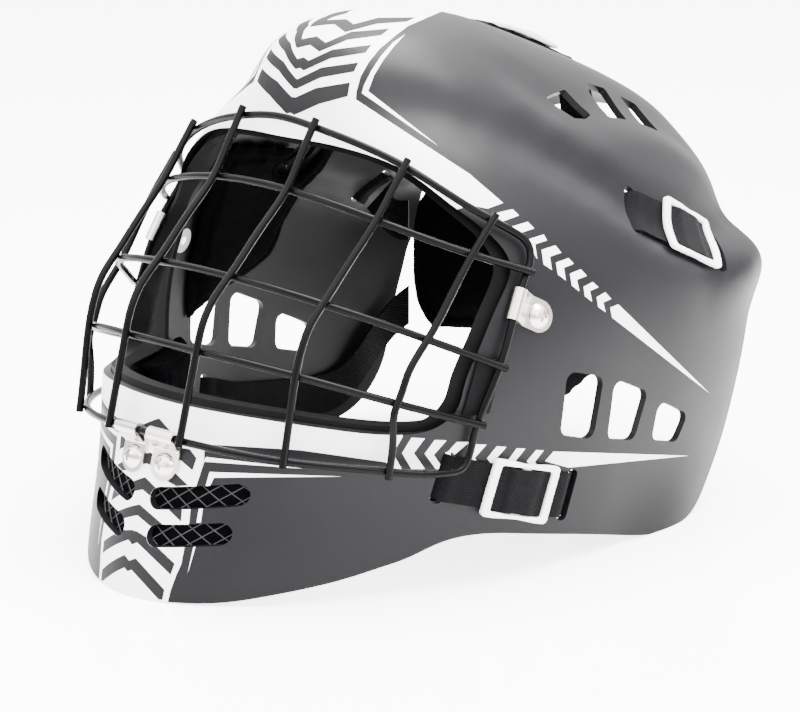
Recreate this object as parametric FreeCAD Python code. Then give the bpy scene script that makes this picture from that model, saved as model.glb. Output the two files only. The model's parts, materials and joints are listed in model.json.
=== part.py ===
import FreeCAD, Part
import math
import os

Vector = FreeCAD.Vector

# Goalkeeper mask for floorball, in its resting pose: it stands on the chin and
# on the two lower rear corners. It faces -Y, +X is the wearer's left, +Z is up.
# Lengths in mm. Names that end in share or shares hold fractions.

# Driving dimensions of the shell
HEIGHT = 230.0            # floor to the top of the crown
HALF_WIDTH = 118.0        # widest half breadth
CHIN_REACH = 203.0        # skull axis to the tip of the chin
REAR_REACH = 150.0        # skull axis to the back of the full skin
WALL = 3.2                # shell thickness
CENTRE_HEIGHT = 60.0      # height of the point that the skin is drawn round
CENTRE_REACH = 35.0       # how far in front of the skull axis it lies

# Rows of the skin: level, half breadth, front, rear, widest place (all shares)
# and the two corner exponents. Level is the root of the depth below the crown.
SKIN_ROW_SHARES = (
    (0.00, 0.000, -0.222, -0.300, -0.222, 2.20, 2.00),
    (0.10, 0.190, -0.352, -0.080, -0.207, 2.20, 2.00),
    (0.20, 0.335, -0.424, 0.087, -0.187, 2.20, 2.00),
    (0.30, 0.462, -0.463, 0.287, -0.158, 2.30, 2.00),
    (0.40, 0.597, -0.484, 0.547, -0.128, 2.50, 2.00),
    (0.50, 0.740, -0.543, 0.800, -0.099, 2.50, 2.05),
    (0.60, 0.882, -0.645, 0.940, -0.079, 2.40, 2.20),
    (0.70, 0.975, -0.759, 1.020, -0.069, 2.25, 2.55),
    (0.80, 1.008, -0.867, 1.000, -0.069, 2.05, 2.75),
    (0.90, 1.000, -0.941, 0.973, -0.079, 1.82, 2.75),
    (1.00, 0.966, -1.000, 0.940, -0.099, 1.80, 2.65),
    (1.08, 0.941, -1.025, 0.920, -0.108, 1.75, 2.50),
    (1.20, 0.924, -1.035, 0.900, -0.108, 1.75, 2.50),
)
GRID_ACROSS = 74
GRID_ALONG = 82
GRID_SIDE_SPREAD = 1.80
GRID_END_SPREAD = 1.62

# Soft creases pressed into the skin
VALLEY_DEPTH = 3.6
VALLEY_REACH = 10.0
WING_STEP = 3.0
LOBE_RISE = 7.0
CHANNEL_DEPTH = 2.4
CHANNEL_REACH = 12.0
LIP_RISE = 1.3
FLARE_RISE = 4.5

# Openings of the shell
CHIN_SLOT_RADIUS = 4.7
EAR_VENT_RADIUS = 4.5
CROWN_VENT_RADIUS = 1.5
CROWN_VENT_DEPTH = 30.0    # length of the cutter
SLOT_WIDTH = 6.0          # slit for a strap
SLOT_SIDE = 1.6           # its room on each side of the webbing

# Cage
WIRE_RADIUS = 1.65
WELD_BITE = 0.15
FRAME_STANDOFF = 3.6      # side wires above the skin
CHIN_STANDOFF = 6.4       # bottom wire above the skin

# Fasteners
SCREW_HEAD_RADIUS = 5.4
SCREW_HEAD_RISE = 3.2
SHANK_RADIUS = 2.0
SHANK_CLEARANCE = 0.15
CLIP_WIDTH = 14.0
CLIP_SHEET = 1.0
NUT_RADIUS = 6.0
NUT_THICKNESS = 1.6
CLIP_SEAT = 0.3           # clip above the skin
CLIP_WIRE_GAP = 0.3       # clip round the wire

# Webbing and buckles
WEB_WIDTH = 20.0
WEB_THICKNESS = 1.2
WEB_LIFT = 0.35
BUCKLE_LENGTH = 36.0
BUCKLE_WIDTH = 26.0
BUCKLE_BAR = 4.2
BUCKLE_THICKNESS = 2.4
RUN_GAP = 0.4             # between parts that slide past one another
WEB_SINK_SHARE = 0.35     # share of the fall in the first step of the crown strap's inner run

# Padding
SEAT_GAP = 0.35           # pad or fitting to the shell's inside
NUT_GAP = 0.6             # flat nut on the curved wall
BROW_THICKNESS = 12.0
BROW_HEIGHT = 25.0
CROWN_THICKNESS = 11.0
SIDE_THICKNESS = 8.0
CHEEK_THICKNESS = 12.0
CHIN_PAD_THICKNESS = 7.0
BACK_THICKNESS = 13.0
BACK_PLATE = 2.2
BACK_HALF = 96.0          # half breadth of the back cushion
BACK_LOW = 44.0           # its low edge
BACK_HIGH = 122.0         # its high edge
BACK_REACH = 116.0        # its back behind the skull axis
BACK_BOW = 30.0           # how far its sides come forward

# Rim, tags and chin screens
TRIM_DEPTH = 5.0
TAG_RISE = 1.6
TAG_LIFT = 0.05           # tag above the skin
MESH_THICKNESS = 0.9

# The whole mask is moved so that its resting box is centred on the origin.
REAR_EDGE_SHARE = 0.6187  # rear rim of the crown as a share of the chin reach
BASE_SHIFT = CHIN_REACH * (1 - REAR_EDGE_SHARE) / 2


def spline_slopes(xs, ys):
    """Second derivatives of a natural cubic curve through the points."""
    count = len(xs)
    curve = [0.0] * count
    work = [0.0] * count
    for i in range(1, count - 1):
        ratio = (xs[i] - xs[i - 1]) / (xs[i + 1] - xs[i - 1])
        lead = ratio * curve[i - 1] + 2
        curve[i] = (ratio - 1) / lead
        rise = (ys[i + 1] - ys[i]) / (xs[i + 1] - xs[i])
        rise -= (ys[i] - ys[i - 1]) / (xs[i] - xs[i - 1])
        work[i] = (6 * rise / (xs[i + 1] - xs[i - 1]) - ratio * work[i - 1]) / lead
    for i in range(count - 2, -1, -1):
        curve[i] = curve[i] * curve[i + 1] + work[i]
    return curve


def spline_value(xs, ys, curve, x):
    """Value of that curve at x, held inside its ends."""
    x = min(max(x, xs[0]), xs[-1])
    i = 0
    while i < len(xs) - 2 and x > xs[i + 1]:
        i += 1
    span = xs[i + 1] - xs[i]
    a = (xs[i + 1] - x) / span
    b = 1 - a
    bend = (a ** 3 - a) * curve[i] + (b ** 3 - b) * curve[i + 1]
    return a * ys[i] + b * ys[i + 1] + bend * span * span / 6


LEVELS = [row[0] for row in SKIN_ROW_SHARES]
SCALES = (HALF_WIDTH, CHIN_REACH, REAR_REACH, CHIN_REACH, 1.0, 1.0)
COLUMNS = [[row[k + 1] * SCALES[k] for row in SKIN_ROW_SHARES] for k in range(6)]
BENDS = [spline_slopes(LEVELS, column) for column in COLUMNS]
STEPS = 480
TABLE = [[spline_value(LEVELS, COLUMNS[k], BENDS[k], LEVELS[-1] * i / STEPS)
          for k in range(6)] for i in range(STEPS + 1)]


def row_at(level):
    """Interpolated row of the skin table."""
    place = min(max(level / LEVELS[-1] * STEPS, 0), STEPS - 0.001)
    i = int(place)
    f = place - i
    low = TABLE[i]
    high = TABLE[i + 1]
    return [low[k] + (high[k] - low[k]) * f for k in range(6)]


def skin_level(x, y, z):
    """Below zero inside the skin, above zero outside."""
    depth = (HEIGHT - z) / HEIGHT
    level = max(math.sqrt(max(depth, 0)), 0.03)
    half, front, rear, mid, n_front, n_rear = row_at(level)
    if y < mid:
        n = n_front
        reach = (mid - front) / level
    else:
        n = n_rear
        reach = (rear - mid) / level
    v = (abs(x) * level / half) ** n + (abs(y - mid) / reach) ** n
    return v ** (2 / n) - depth


def skin_normal(p):
    step = HEIGHT / 400
    gx = skin_level(p.x + step, p.y, p.z) - skin_level(p.x - step, p.y, p.z)
    gy = skin_level(p.x, p.y + step, p.z) - skin_level(p.x, p.y - step, p.z)
    gz = skin_level(p.x, p.y, p.z + step) - skin_level(p.x, p.y, p.z - step)
    return Vector(gx, gy, gz).normalize()


def meet(start, direction, reach):
    """Point where a ray from inside crosses the plain skin."""
    low = 0.0
    high = reach
    for _ in range(30):
        middle = (low + high) / 2
        p = start + direction * middle
        if skin_level(p.x, p.y, p.z) < 0:
            low = middle
        else:
            high = middle
    return start + direction * low


def bell(distance, reach):
    return math.exp(-(distance / reach) ** 2)


def ramp(value, low, high):
    t = min(max((value - low) / (high - low), 0), 1)
    return t * t * (3 - 2 * t)


# Line of the long valley on each side: place along Y, height
VALLEY_SHARES = ((-0.480, 0.905), (-0.370, 0.861), (-0.266, 0.828), (-0.148, 0.772), (-0.034, 0.706),
                 (0.049, 0.652), (0.167, 0.600), (0.320, 0.572), (0.500, 0.560))
VALLEY_Y = [a * CHIN_REACH for a, b in VALLEY_SHARES]
VALLEY_Z = [b * HEIGHT for a, b in VALLEY_SHARES]
VALLEY_BEND = spline_slopes(VALLEY_Y, VALLEY_Z)
# Channel of the crown vents: place along Y, half breadth of its middle line
CHANNEL_SHARES = ((-0.20, 0.36), (-0.10, 0.50), (0.03, 0.58), (0.20, 0.545), (0.33, 0.535), (0.55, 0.52))
CHANNEL_Y = [a * CHIN_REACH for a, b in CHANNEL_SHARES]
CHANNEL_X = [b * HALF_WIDTH for a, b in CHANNEL_SHARES]
CHANNEL_BEND = spline_slopes(CHANNEL_Y, CHANNEL_X)


def crease(p):
    """Height of the pressed relief above the plain skin."""
    side = ramp(abs(p.x), HALF_WIDTH * 0.22, HALF_WIDTH * 0.42)
    off = (p.z - spline_value(VALLEY_Y, VALLEY_Z, VALLEY_BEND, p.y)) * 0.82
    fade = ramp(p.y, CHIN_REACH * -0.50, CHIN_REACH * -0.36)
    rise = -VALLEY_DEPTH * bell(off, VALLEY_REACH) * side * fade
    below = ramp(-off, 0, HEIGHT * 0.10) * ramp(off, HEIGHT * -0.45, HEIGHT * -0.12)
    rise += WING_STEP * below * side * ramp(p.y, CHIN_REACH * -0.30, CHIN_REACH * 0.20)
    rise += LOBE_RISE * bell(p.z - HEIGHT * 0.475, HEIGHT * 0.065) * ramp(p.y, CHIN_REACH * 0.22, CHIN_REACH * 0.44)
    line = spline_value(CHANNEL_Y, CHANNEL_X, CHANNEL_BEND, p.y)
    top = ramp(p.z, HEIGHT * 0.62, HEIGHT * 0.72)
    ends = ramp(p.y, CHIN_REACH * -0.20, CHIN_REACH * -0.05) * ramp(-p.y, CHIN_REACH * -0.62, CHIN_REACH * -0.45)
    rise -= CHANNEL_DEPTH * bell(abs(p.x) - line, CHANNEL_REACH) * top * ends
    rise += LIP_RISE * bell(abs(p.x) - line - CHANNEL_REACH * 1.3, CHANNEL_REACH * 0.7) * top * ends
    flare = bell(p.y - CHIN_REACH * 0.14, CHIN_REACH * 0.14) * bell(p.z, HEIGHT * 0.09)
    return rise + FLARE_RISE * flare * side


CENTRE = Vector(0, -CENTRE_REACH, CENTRE_HEIGHT)


def lifted(base, lift):
    return base + skin_normal(base) * (crease(base) + lift)


def on_skin(guide, lift):
    """Skin point seen from the centre through a guide point, raised by lift."""
    direction = (guide - CENTRE).normalize()
    return lifted(meet(CENTRE, direction, HEIGHT * 1.6), lift)


def surface(rows):
    face = Part.BSplineSurface()
    face.interpolate(rows)
    return face


def sheet(low_rows, high_rows):
    """Closed solid between two matching grids of points."""
    low = surface(low_rows)
    high = surface(high_rows)
    faces = [low.toShape(), high.toShape()]
    ends = (low.bounds(), high.bounds())
    for side in range(4):
        edges = []
        for patch, (u0, u1, v0, v1) in zip((low, high), ends):
            if side == 0:
                edges.append(patch.uIso(u0).toShape())
            elif side == 1:
                edges.append(patch.uIso(u1).toShape())
            elif side == 2:
                edges.append(patch.vIso(v0).toShape())
            else:
                edges.append(patch.vIso(v1).toShape())
        faces.append(Part.makeRuledSurface(edges[0], edges[1]))
    shell = Part.makeShell(faces)
    shell.sewShape()
    solid = Part.makeSolid(shell)
    if solid.Volume < 0:
        solid.reverse()
    return solid


def lofted_sheet(bases, low_lift, high_lift):
    """Sheet from a grid of plain skin points and two functions of the place in it."""
    last_u = len(bases) - 1
    last_v = len(bases[0]) - 1
    low = []
    high = []
    for i, row in enumerate(bases):
        low_row = []
        high_row = []
        for j, base in enumerate(row):
            normal = skin_normal(base)
            relief = crease(base)
            low_row.append(base + normal * (relief + low_lift(i / last_u, j / last_v)))
            high_row.append(base + normal * (relief + high_lift(i / last_u, j / last_v)))
        low.append(low_row)
        high.append(high_row)
    return sheet(low, high)


def constant(value):
    return lambda u, v: value


def bowl_bases():
    """Grid of directions with no pole, from the crown down past the rim."""
    rows = []
    for i in range(GRID_ACROSS + 1):
        row = []
        for j in range(GRID_ALONG + 1):
            a = GRID_SIDE_SPREAD * (2 * i / GRID_ACROSS - 1)
            b = GRID_END_SPREAD * (2 * j / GRID_ALONG - 1)
            s = a * a + b * b
            direction = Vector(2 * a, 2 * b, 1 - s).normalize()
            row.append(meet(CENTRE, direction, HEIGHT * 1.9))
        rows.append(row)
    return rows


def wire_of(points, closed=True):
    """Smooth closed outline through points."""
    curve = Part.BSplineCurve()
    curve.interpolate(points, PeriodicFlag=closed)
    return Part.Wire(curve.toShape())


def rounded(points, radius):
    """Closed polygon with rounded corners."""
    edges = []
    count = len(points)
    arcs = []
    for i in range(count):
        here = points[i]
        back = (points[i - 1] - here)
        fore = (points[(i + 1) % count] - here)
        angle = back.getAngle(fore)
        cut = radius / math.tan(angle / 2)
        cut = min(cut, back.Length * 0.45, fore.Length * 0.45)
        start = here + back * (cut / back.Length)
        end = here + fore * (cut / fore.Length)
        bow = (start + end) * 0.5
        arm = cut / math.cos(angle / 2)
        size = cut * math.tan(angle / 2)
        middle = here + (bow - here).normalize() * (arm - size)
        arcs.append((start, middle, end))
    for i in range(count):
        start, middle, end = arcs[i]
        edges.append(Part.Arc(start, middle, end).toShape())
        following = arcs[(i + 1) % count][0]
        if (following - end).Length > 0.001:
            edges.append(Part.makeLine(end, following))
    return Part.Wire(edges)


def prism(wire, shift, length):
    """Block with the wire as outline, from wire + shift, length long."""
    face = Part.Face(wire)
    face.translate(shift)
    return face.extrude(length)


def mirrored(shape):
    return shape.mirror(Vector(0, 0, 0), Vector(1, 0, 0))


# Side view of the rims, as shares of the chin reach and of the height: from
# the chin back along the lower edge, then up the rear edge.
LOWER_EDGE_SHARES = ((-1.30, 0.0), (-1.00, 0.0), (-0.975, 0.002), (-0.911, 0.008), (-0.867, 0.0165), (-0.818, 0.026),
                     (-0.764, 0.036), (-0.711, 0.047), (-0.655, 0.060), (-0.605, 0.0715), (-0.567, 0.084),
                     (-0.527, 0.0945), (-0.490, 0.098), (-0.425, 0.0945), (-0.340, 0.080), (-0.236, 0.060),
                     (-0.108, 0.0325), (0.000, 0.008), (0.045, 0.0))
REAR_EDGE_SHARES = ((0.160, 0.0), (0.215, 0.006), (0.268, 0.024), (0.325, 0.068), (0.366, 0.120), (0.392, 0.182),
                    (0.424, 0.270), (0.445, 0.325), (0.462, 0.370), (0.490, 0.410), (0.505, 0.455), (0.504, 0.505),
                    (0.494, 0.548), (0.503, 0.590), (0.535, 0.640), (0.601, 0.715), (0.700, 0.760))


def keep_block():
    """Everything above the lower edge and in front of the rear edge."""
    low = [Vector(0, a * CHIN_REACH, b * HEIGHT) for a, b in LOWER_EDGE_SHARES]
    rear = [Vector(0, a * CHIN_REACH, b * HEIGHT) for a, b in REAR_EDGE_SHARES]
    first = Part.BSplineCurve()
    first.interpolate(low)
    second = Part.BSplineCurve()
    second.interpolate(rear)
    far = Vector(0, rear[-1].y, HEIGHT * 1.2)
    near = Vector(0, low[0].y, HEIGHT * 1.2)
    edges = [first.toShape(), Part.makeLine(low[-1], rear[0]), second.toShape(),
             Part.makeLine(rear[-1], far), Part.makeLine(far, near), Part.makeLine(near, low[0])]
    reach = HALF_WIDTH * 1.3
    return prism(Part.Wire(edges), Vector(-reach, 0, 0), Vector(2 * reach, 0, 0))


# Face opening in front view, as shares of the half breadth and of the height
FACE_SHARES = ((0.085, 0.7955), (0.305, 0.789), (0.492, 0.763), (0.670, 0.704), (0.815, 0.634), (0.865, 0.585),
               (0.875, 0.530), (0.870, 0.450), (0.858, 0.390), (0.843, 0.340), (0.800, 0.313), (0.720, 0.311),
               (0.595, 0.325), (0.400, 0.341), (0.170, 0.348))


def face_outline(grow):
    """Closed outline of the face opening, scaled about its middle."""
    middle = 0.565 * HEIGHT
    right = []
    for a, b in FACE_SHARES:
        right.append(Vector(a * HALF_WIDTH * grow, 0, middle + (b * HEIGHT - middle) * grow))
    left = [Vector(-p.x, 0, p.z) for p in reversed(right)]
    return wire_of(right + left)


def face_prism(grow):
    return prism(face_outline(grow), Vector(0, -CHIN_REACH * 1.2, 0), Vector(0, CHIN_REACH * 0.98, 0))


# Breathing slots of the chin in front view: inner end, height, outer end, height
CHIN_SLOT_SHARES = ((0.080, 0.183, 0.348, 0.203), (0.098, 0.117, 0.312, 0.131))


def chin_slot(shares, radius):
    """Long round-ended hole along Y."""
    x0, z0, x1, z1 = shares
    start = Vector(x0 * HALF_WIDTH, 0, z0 * HEIGHT)
    end = Vector(x1 * HALF_WIDTH, 0, z1 * HEIGHT)
    along = (end - start).normalize()
    up = Vector(-along.z, 0, along.x)
    edges = [Part.makeLine(start + up * radius, end + up * radius),
             Part.Arc(end + up * radius, end + along * radius, end - up * radius).toShape(),
             Part.makeLine(end - up * radius, start - up * radius),
             Part.Arc(start - up * radius, start - along * radius, start + up * radius).toShape()]
    return prism(Part.Wire(edges), Vector(0, -CHIN_REACH * 1.2, 0), Vector(0, CHIN_REACH * 0.5, 0))


# Ear vents in side view, as shares of the chin reach and of the height
EAR_VENT_SHARES = (
    ((-0.249, 0.385), (-0.140, 0.357), (-0.167, 0.237), (-0.263, 0.263)),
    ((-0.105, 0.347), (0.010, 0.301), (-0.028, 0.209), (-0.122, 0.229)),
    ((0.051, 0.275), (0.118, 0.247), (0.169, 0.223), (0.133, 0.172), (0.036, 0.196)),
)


def ear_vent(shares, radius, grow):
    points = [Vector(0, a * CHIN_REACH, b * HEIGHT) for a, b in shares]
    middle = Vector(0, 0, 0)
    for p in points:
        middle += p * (1 / len(points))
    points = [middle + (p - middle) * grow for p in points]
    return prism(rounded(points, radius), Vector(HALF_WIDTH * 0.72, 0, 0), Vector(HALF_WIDTH * 0.5, 0, 0))


# Crown vents seen from above, as shares of the half breadth and the chin reach
CROWN_VENT_SHARES = (
    ((0.560, -0.020), (0.525, 0.069), (0.612, 0.099), (0.632, 0.064), (0.632, 0.025), (0.590, -0.005)),
    ((0.458, 0.190), (0.450, 0.262), (0.602, 0.232), (0.606, 0.197), (0.610, 0.163), (0.510, 0.168)),
    ((0.458, 0.310), (0.466, 0.366), (0.585, 0.366), (0.593, 0.315), (0.593, 0.290), (0.492, 0.310)),
)


def crown_vent(shares):
    """Block through the crown along the skin's own normal."""
    points = []
    for a, b in shares:
        guide = Vector(a * HALF_WIDTH, b * CHIN_REACH, 0)
        points.append(meet(guide, Vector(0, 0, 1), HEIGHT))
    middle = Vector(0, 0, 0)
    for p in points:
        middle += p * (1 / len(points))
    normal = skin_normal(middle)
    flat = [p - normal * (p - middle).dot(normal) for p in points]
    wire = rounded(flat, CROWN_VENT_RADIUS)
    return prism(wire, normal * (-CROWN_VENT_DEPTH / 2), normal * CROWN_VENT_DEPTH)


class Strap:
    """Frame of one strap: a along it, b across it, h above the shell."""

    def __init__(self, start, end, buckle_share):
        self.start = on_skin(start, 0)
        self.end = on_skin(end, 0)
        middle = (self.start + self.end) * 0.5
        self.base = on_skin(middle, 0)
        self.normal = skin_normal(meet(CENTRE, (middle - CENTRE).normalize(), HEIGHT * 1.6))
        along = self.end - self.start
        along = along - self.normal * along.dot(self.normal)
        self.length = along.Length
        self.along = along.normalize()
        self.across = self.normal.cross(self.along).normalize()
        self.buckle = self.length * buckle_share
        self.samples = [self.point(self.length * k / 16, 0, 0) for k in range(-10, 11)]

    def plain(self, a, b):
        guide = self.base + self.along * a + self.across * b - self.normal * (HALF_WIDTH * 0.3)
        return meet(guide, self.normal, HALF_WIDTH)

    def point(self, a, b, h):
        return lifted(self.plain(a, b), h)

    def band(self, path, width, thickness, count):
        """Webbing along a path of (a, h) places."""
        knots = [0.0]
        for i in range(1, len(path)):
            knots.append(knots[-1] + math.hypot(path[i][0] - path[i - 1][0], path[i][1] - path[i - 1][1]))
        places = [p[0] for p in path]
        heights = [p[1] for p in path]
        bend_a = spline_slopes(knots, places)
        bend_h = spline_slopes(knots, heights)
        low = []
        high = []
        step = knots[-1] / count
        for i in range(count + 1):
            s = i * step
            a = spline_value(knots, places, bend_a, s)
            h = spline_value(knots, heights, bend_h, s)
            fore = min(s + step * 0.2, knots[-1])
            back = max(s - step * 0.2, 0)
            da = spline_value(knots, places, bend_a, fore) - spline_value(knots, places, bend_a, back)
            dh = spline_value(knots, heights, bend_h, fore) - spline_value(knots, heights, bend_h, back)
            size = math.hypot(da, dh)
            oa = -dh / size * thickness / 2
            oh = da / size * thickness / 2
            low.append([self.point(a - oa, width * (j / 4 - 0.5), h - oh) for j in range(5)])
            high.append([self.point(a + oa, width * (j / 4 - 0.5), h + oh) for j in range(5)])
        return sheet(low, high)

    def slot(self, sign):
        """Slit in the shell at one end of the strap."""
        middle = self.point(sign * self.length / 2, 0, 0)
        normal = skin_normal(self.plain(sign * self.length / 2, 0))
        along = (self.along - normal * self.along.dot(normal)).normalize()
        across = normal.cross(along)
        half_long = WEB_WIDTH / 2 + SLOT_SIDE
        half_wide = SLOT_WIDTH / 2
        corners = [middle + along * (half_wide * p) + across * (half_long * q)
                   for p, q in ((-1, -1), (1, -1), (1, 1), (-1, 1))]
        depth = normal * (WALL * 5)
        return prism(rounded(corners, SLOT_WIDTH * 0.42), depth * -0.6, depth)


TOP_START = Vector(0, 0.094 * CHIN_REACH, 0.955 * HEIGHT)
TOP_END = Vector(0, 0.420 * CHIN_REACH, 0.845 * HEIGHT)
UPPER_START = Vector(0.873 * HALF_WIDTH, 0.054 * CHIN_REACH, 0.640 * HEIGHT)
UPPER_END = Vector(0.907 * HALF_WIDTH, 0.318 * CHIN_REACH, 0.520 * HEIGHT)
LOWER_START = Vector(0.848 * HALF_WIDTH, -0.548 * CHIN_REACH, 0.218 * HEIGHT)
LOWER_END = Vector(0.966 * HALF_WIDTH, -0.232 * CHIN_REACH, 0.140 * HEIGHT)


def strap_room(strap, sign):
    """Space in a cushion for the inner end of a strap."""
    normal = skin_normal(strap.plain(sign * strap.length / 2, 0))
    middle = strap.point(sign * strap.length / 2, 0, 0)
    along = (strap.along - normal * strap.along.dot(normal)).normalize() * sign
    across = normal.cross(along)
    half = WEB_WIDTH / 2 + SLOT_SIDE
    corners = [middle + along * p + across * q
               for p, q in ((-SLOT_WIDTH, -half), (SLOT_WIDTH * 1.9, -half), (SLOT_WIDTH * 1.9, half), (-SLOT_WIDTH, half))]
    return prism(rounded(corners, SLOT_SIDE), normal * (-WALL * 9), normal * (WALL * 10))


def strap_frames():
    return {
        "top": Strap(TOP_START, TOP_END, 0.0),
        "upper": Strap(UPPER_START, UPPER_END, 0.13),
        "lower": Strap(LOWER_START, LOWER_END, 0.07),
    }


def strap_band(strap):
    """Outer run: in through the front slot, over the shell, in at the rear slot."""
    half = strap.length / 2
    flat = WEB_LIFT + WEB_THICKNESS / 2
    deep = -(WALL + SEAT_GAP + WEB_THICKNESS / 2)
    lean = SLOT_WIDTH * 0.30
    ends = SLOT_WIDTH * 1.3
    path = [(-half - ends, deep), (-half - lean * 1.5, deep * 0.92), (-half, (deep + flat) / 2),
            (-half + lean * 1.7, flat * 0.9)]
    inner = half - ends
    for k in range(7):
        path.append((inner * (k / 3 - 1), flat))
    path += [(half - lean * 1.7, flat * 0.9), (half, (deep + flat) / 2), (half + lean * 1.5, deep * 0.92),
             (half + ends, deep)]
    return strap.band(path, WEB_WIDTH, WEB_THICKNESS, 44)


def buckle_ring(strap):
    """Three-bar slider lying over the webbing."""
    low = WEB_LIFT + WEB_THICKNESS + RUN_GAP
    centre = strap.buckle
    half = BUCKLE_LENGTH / 2
    side = BUCKLE_WIDTH / 2
    waist = BUCKLE_BAR * 0.22
    rows_low = []
    rows_high = []
    for i in range(9):
        a = half * (i / 4 - 1)
        edge = side * 1.02 - waist * bell(a, half * 0.5)
        rows_low.append([strap.point(centre + a, edge * (j / 3 - 1), low) for j in range(7)])
        rows_high.append([strap.point(centre + a, edge * (j / 3 - 1), low + BUCKLE_THICKNESS) for j in range(7)])
    ring = sheet(rows_low, rows_high)
    middle = strap.point(centre, 0, 0)
    normal = skin_normal(strap.plain(centre, 0))
    along = (strap.along - normal * strap.along.dot(normal)).normalize()
    across = normal.cross(along)

    def block(a0, a1, half_b, radius):
        corners = [middle + along * p + across * q
                   for p, q in ((a0, -half_b), (a1, -half_b), (a1, half_b), (a0, half_b))]
        return prism(rounded(corners, radius), normal * (-WALL), normal * (WALL * 4))

    window = WEB_WIDTH / 2 + RUN_GAP
    ring = ring.cut(block(-half + BUCKLE_BAR, half - BUCKLE_BAR, window, BUCKLE_BAR * 0.3))
    ring = ring.common(block(-half + RUN_GAP, half - RUN_GAP, side, BUCKLE_BAR * 0.5))
    under = low + BUCKLE_THICKNESS * 0.1
    over = low + BUCKLE_THICKNESS * 0.6
    ends = (-BUCKLE_BAR / 2, 0, BUCKLE_BAR / 2)
    bar = [[strap.point(centre + a, window * 1.06 * (j / 3 - 1), under) for j in range(7)] for a in ends]
    cap = [[strap.point(centre + a, window * 1.06 * (j / 3 - 1), over) for j in range(7)] for a in ends]
    return ring.fuse(sheet(bar, cap))


def buckle_loop(strap):
    """Short second layer of webbing that folds over the middle bar."""
    low = WEB_LIFT + WEB_THICKNESS * 1.5 + RUN_GAP
    high = low + BUCKLE_THICKNESS * 0.6 + RUN_GAP * 0.5
    reach = BUCKLE_LENGTH / 2 - BUCKLE_BAR - RUN_GAP * 1.5
    centre = strap.buckle
    path = []
    for k in range(9):
        share = k / 4 - 1
        path.append((centre + reach * share, low + (high - low) * ramp(1 - abs(share), 0.12, 0.62)))
    return strap.band(path, WEB_WIDTH - RUN_GAP, WEB_THICKNESS, 22)


def smooth(points, count, skip=0):
    """Even samples of a soft curve, leaving out skip spans at both ends."""
    knots = [0.0]
    for i in range(1, len(points)):
        knots.append(knots[-1] + (points[i] - points[i - 1]).Length)
    columns = [[p.x for p in points], [p.y for p in points], [p.z for p in points]]
    bends = [spline_slopes(knots, column) for column in columns]
    first = knots[skip]
    last = knots[-1 - skip]
    samples = []
    for i in range(count + 1):
        s = first + (last - first) * i / count
        samples.append(Vector(*[spline_value(knots, c, b, s) for c, b in zip(columns, bends)]))
    return samples


RING_POLES = 16


def around(points, radius, closed):
    """Rows of points beside a path, one row for each pole of the ring."""
    reach = radius * 6 / (4 + 2 * math.cos(2 * math.pi / RING_POLES))
    last = len(points) - 1
    rows = [[] for _ in range(RING_POLES)]
    for i, here in enumerate(points):
        fore = points[(i + 1) % len(points)] if closed else points[min(i + 1, last)]
        back = points[i - 1] if closed else points[max(i - 1, 0)]
        way = (fore - back).normalize()
        arm = here - CENTRE
        arm = (arm - way * arm.dot(way)).normalize()
        side = way.cross(arm)
        for k in range(RING_POLES):
            turn = 2 * math.pi * k / RING_POLES
            rows[k].append(here + arm * (reach * math.cos(turn)) + side * (reach * math.sin(turn)))
    return rows


def pipe(points, radius, closed=False):
    """Round wire along a row of points."""
    knots = [0.0]
    for i in range(1, len(points) + (1 if closed else 0)):
        knots.append(knots[-1] + (points[i % len(points)] - points[i - 1]).Length)
    poles = []
    for row in around(points, radius, closed):
        curve = Part.BSplineCurve()
        curve.interpolate(row, PeriodicFlag=closed, Parameters=knots)
        poles.append(curve.getPoles())
    skin = Part.BSplineSurface()
    rounds = [1] * (RING_POLES + 1)
    turns = [float(k) for k in range(RING_POLES + 1)]
    skin.buildFromPolesMultsKnots(poles, rounds, curve.getMultiplicities(), turns, curve.getKnots(),
                                  True, closed, 3, 3)
    faces = [skin.toShape()]
    if not closed:
        u0, u1, v0, v1 = skin.bounds()
        faces += [Part.Face(Part.Wire(skin.vIso(v).toShape())) for v in (v0, v1)]
    shell = Part.makeShell(faces)
    if not closed:
        shell.sewShape()
    solid = Part.makeSolid(shell)
    if solid.Volume < 0:
        solid.reverse()
    return solid


# Nodes of the cage: the places where the upright bars cross the others, as
# shares of the half breadth, chin reach and height.
BAR_SHARES = (
    # half breadth, kink (reach, height), first, second and third crossing (reach, height)
    (0.187, (-0.856, 0.528), (-0.608, 0.728), (-0.778, 0.590), (-0.881, 0.461)),
    (0.545, (-0.776, 0.503), (-0.557, 0.689), (-0.715, 0.557), (-0.800, 0.432)),
    (0.821, (-0.648, 0.408), (-0.438, 0.627), (-0.568, 0.4875), (-0.658, 0.378)),
)
TOP_WIRE_SHARES = ((0.0, 0.823, 6.3), (0.171, 0.8135, 4.0), (0.512, 0.759, 0.4), (0.775, 0.667, 0.2))
SIDE_WIRE_SHARES = ((-0.3075, 0.608), (-0.3315, 0.576), (-0.379, 0.510), (-0.4256, 0.421), (-0.475, 0.322),
                    (-0.486, 0.280))
CORNER_SIDE_SHARES = (-0.503, 0.243)
CORNER_FRONT_SHARES = (0.820, 0.238)
BOTTOM_WIRE_SHARES = ((0.709, 0.2513), (0.4756, 0.2727), (0.159, 0.2885), (0.0, 0.291))


def front_point(x, z, lift):
    """Skin point at a breadth and height, on the face side."""
    base = meet(Vector(x, -CHIN_REACH * 0.22, z), Vector(0, -1, 0), CHIN_REACH * 1.2)
    return lifted(base, lift)


def side_point(y, z, lift):
    base = meet(Vector(HALF_WIDTH * 0.3, y, z), Vector(1, 0, 0), HALF_WIDTH * 1.2)
    return lifted(base, lift)


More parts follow.
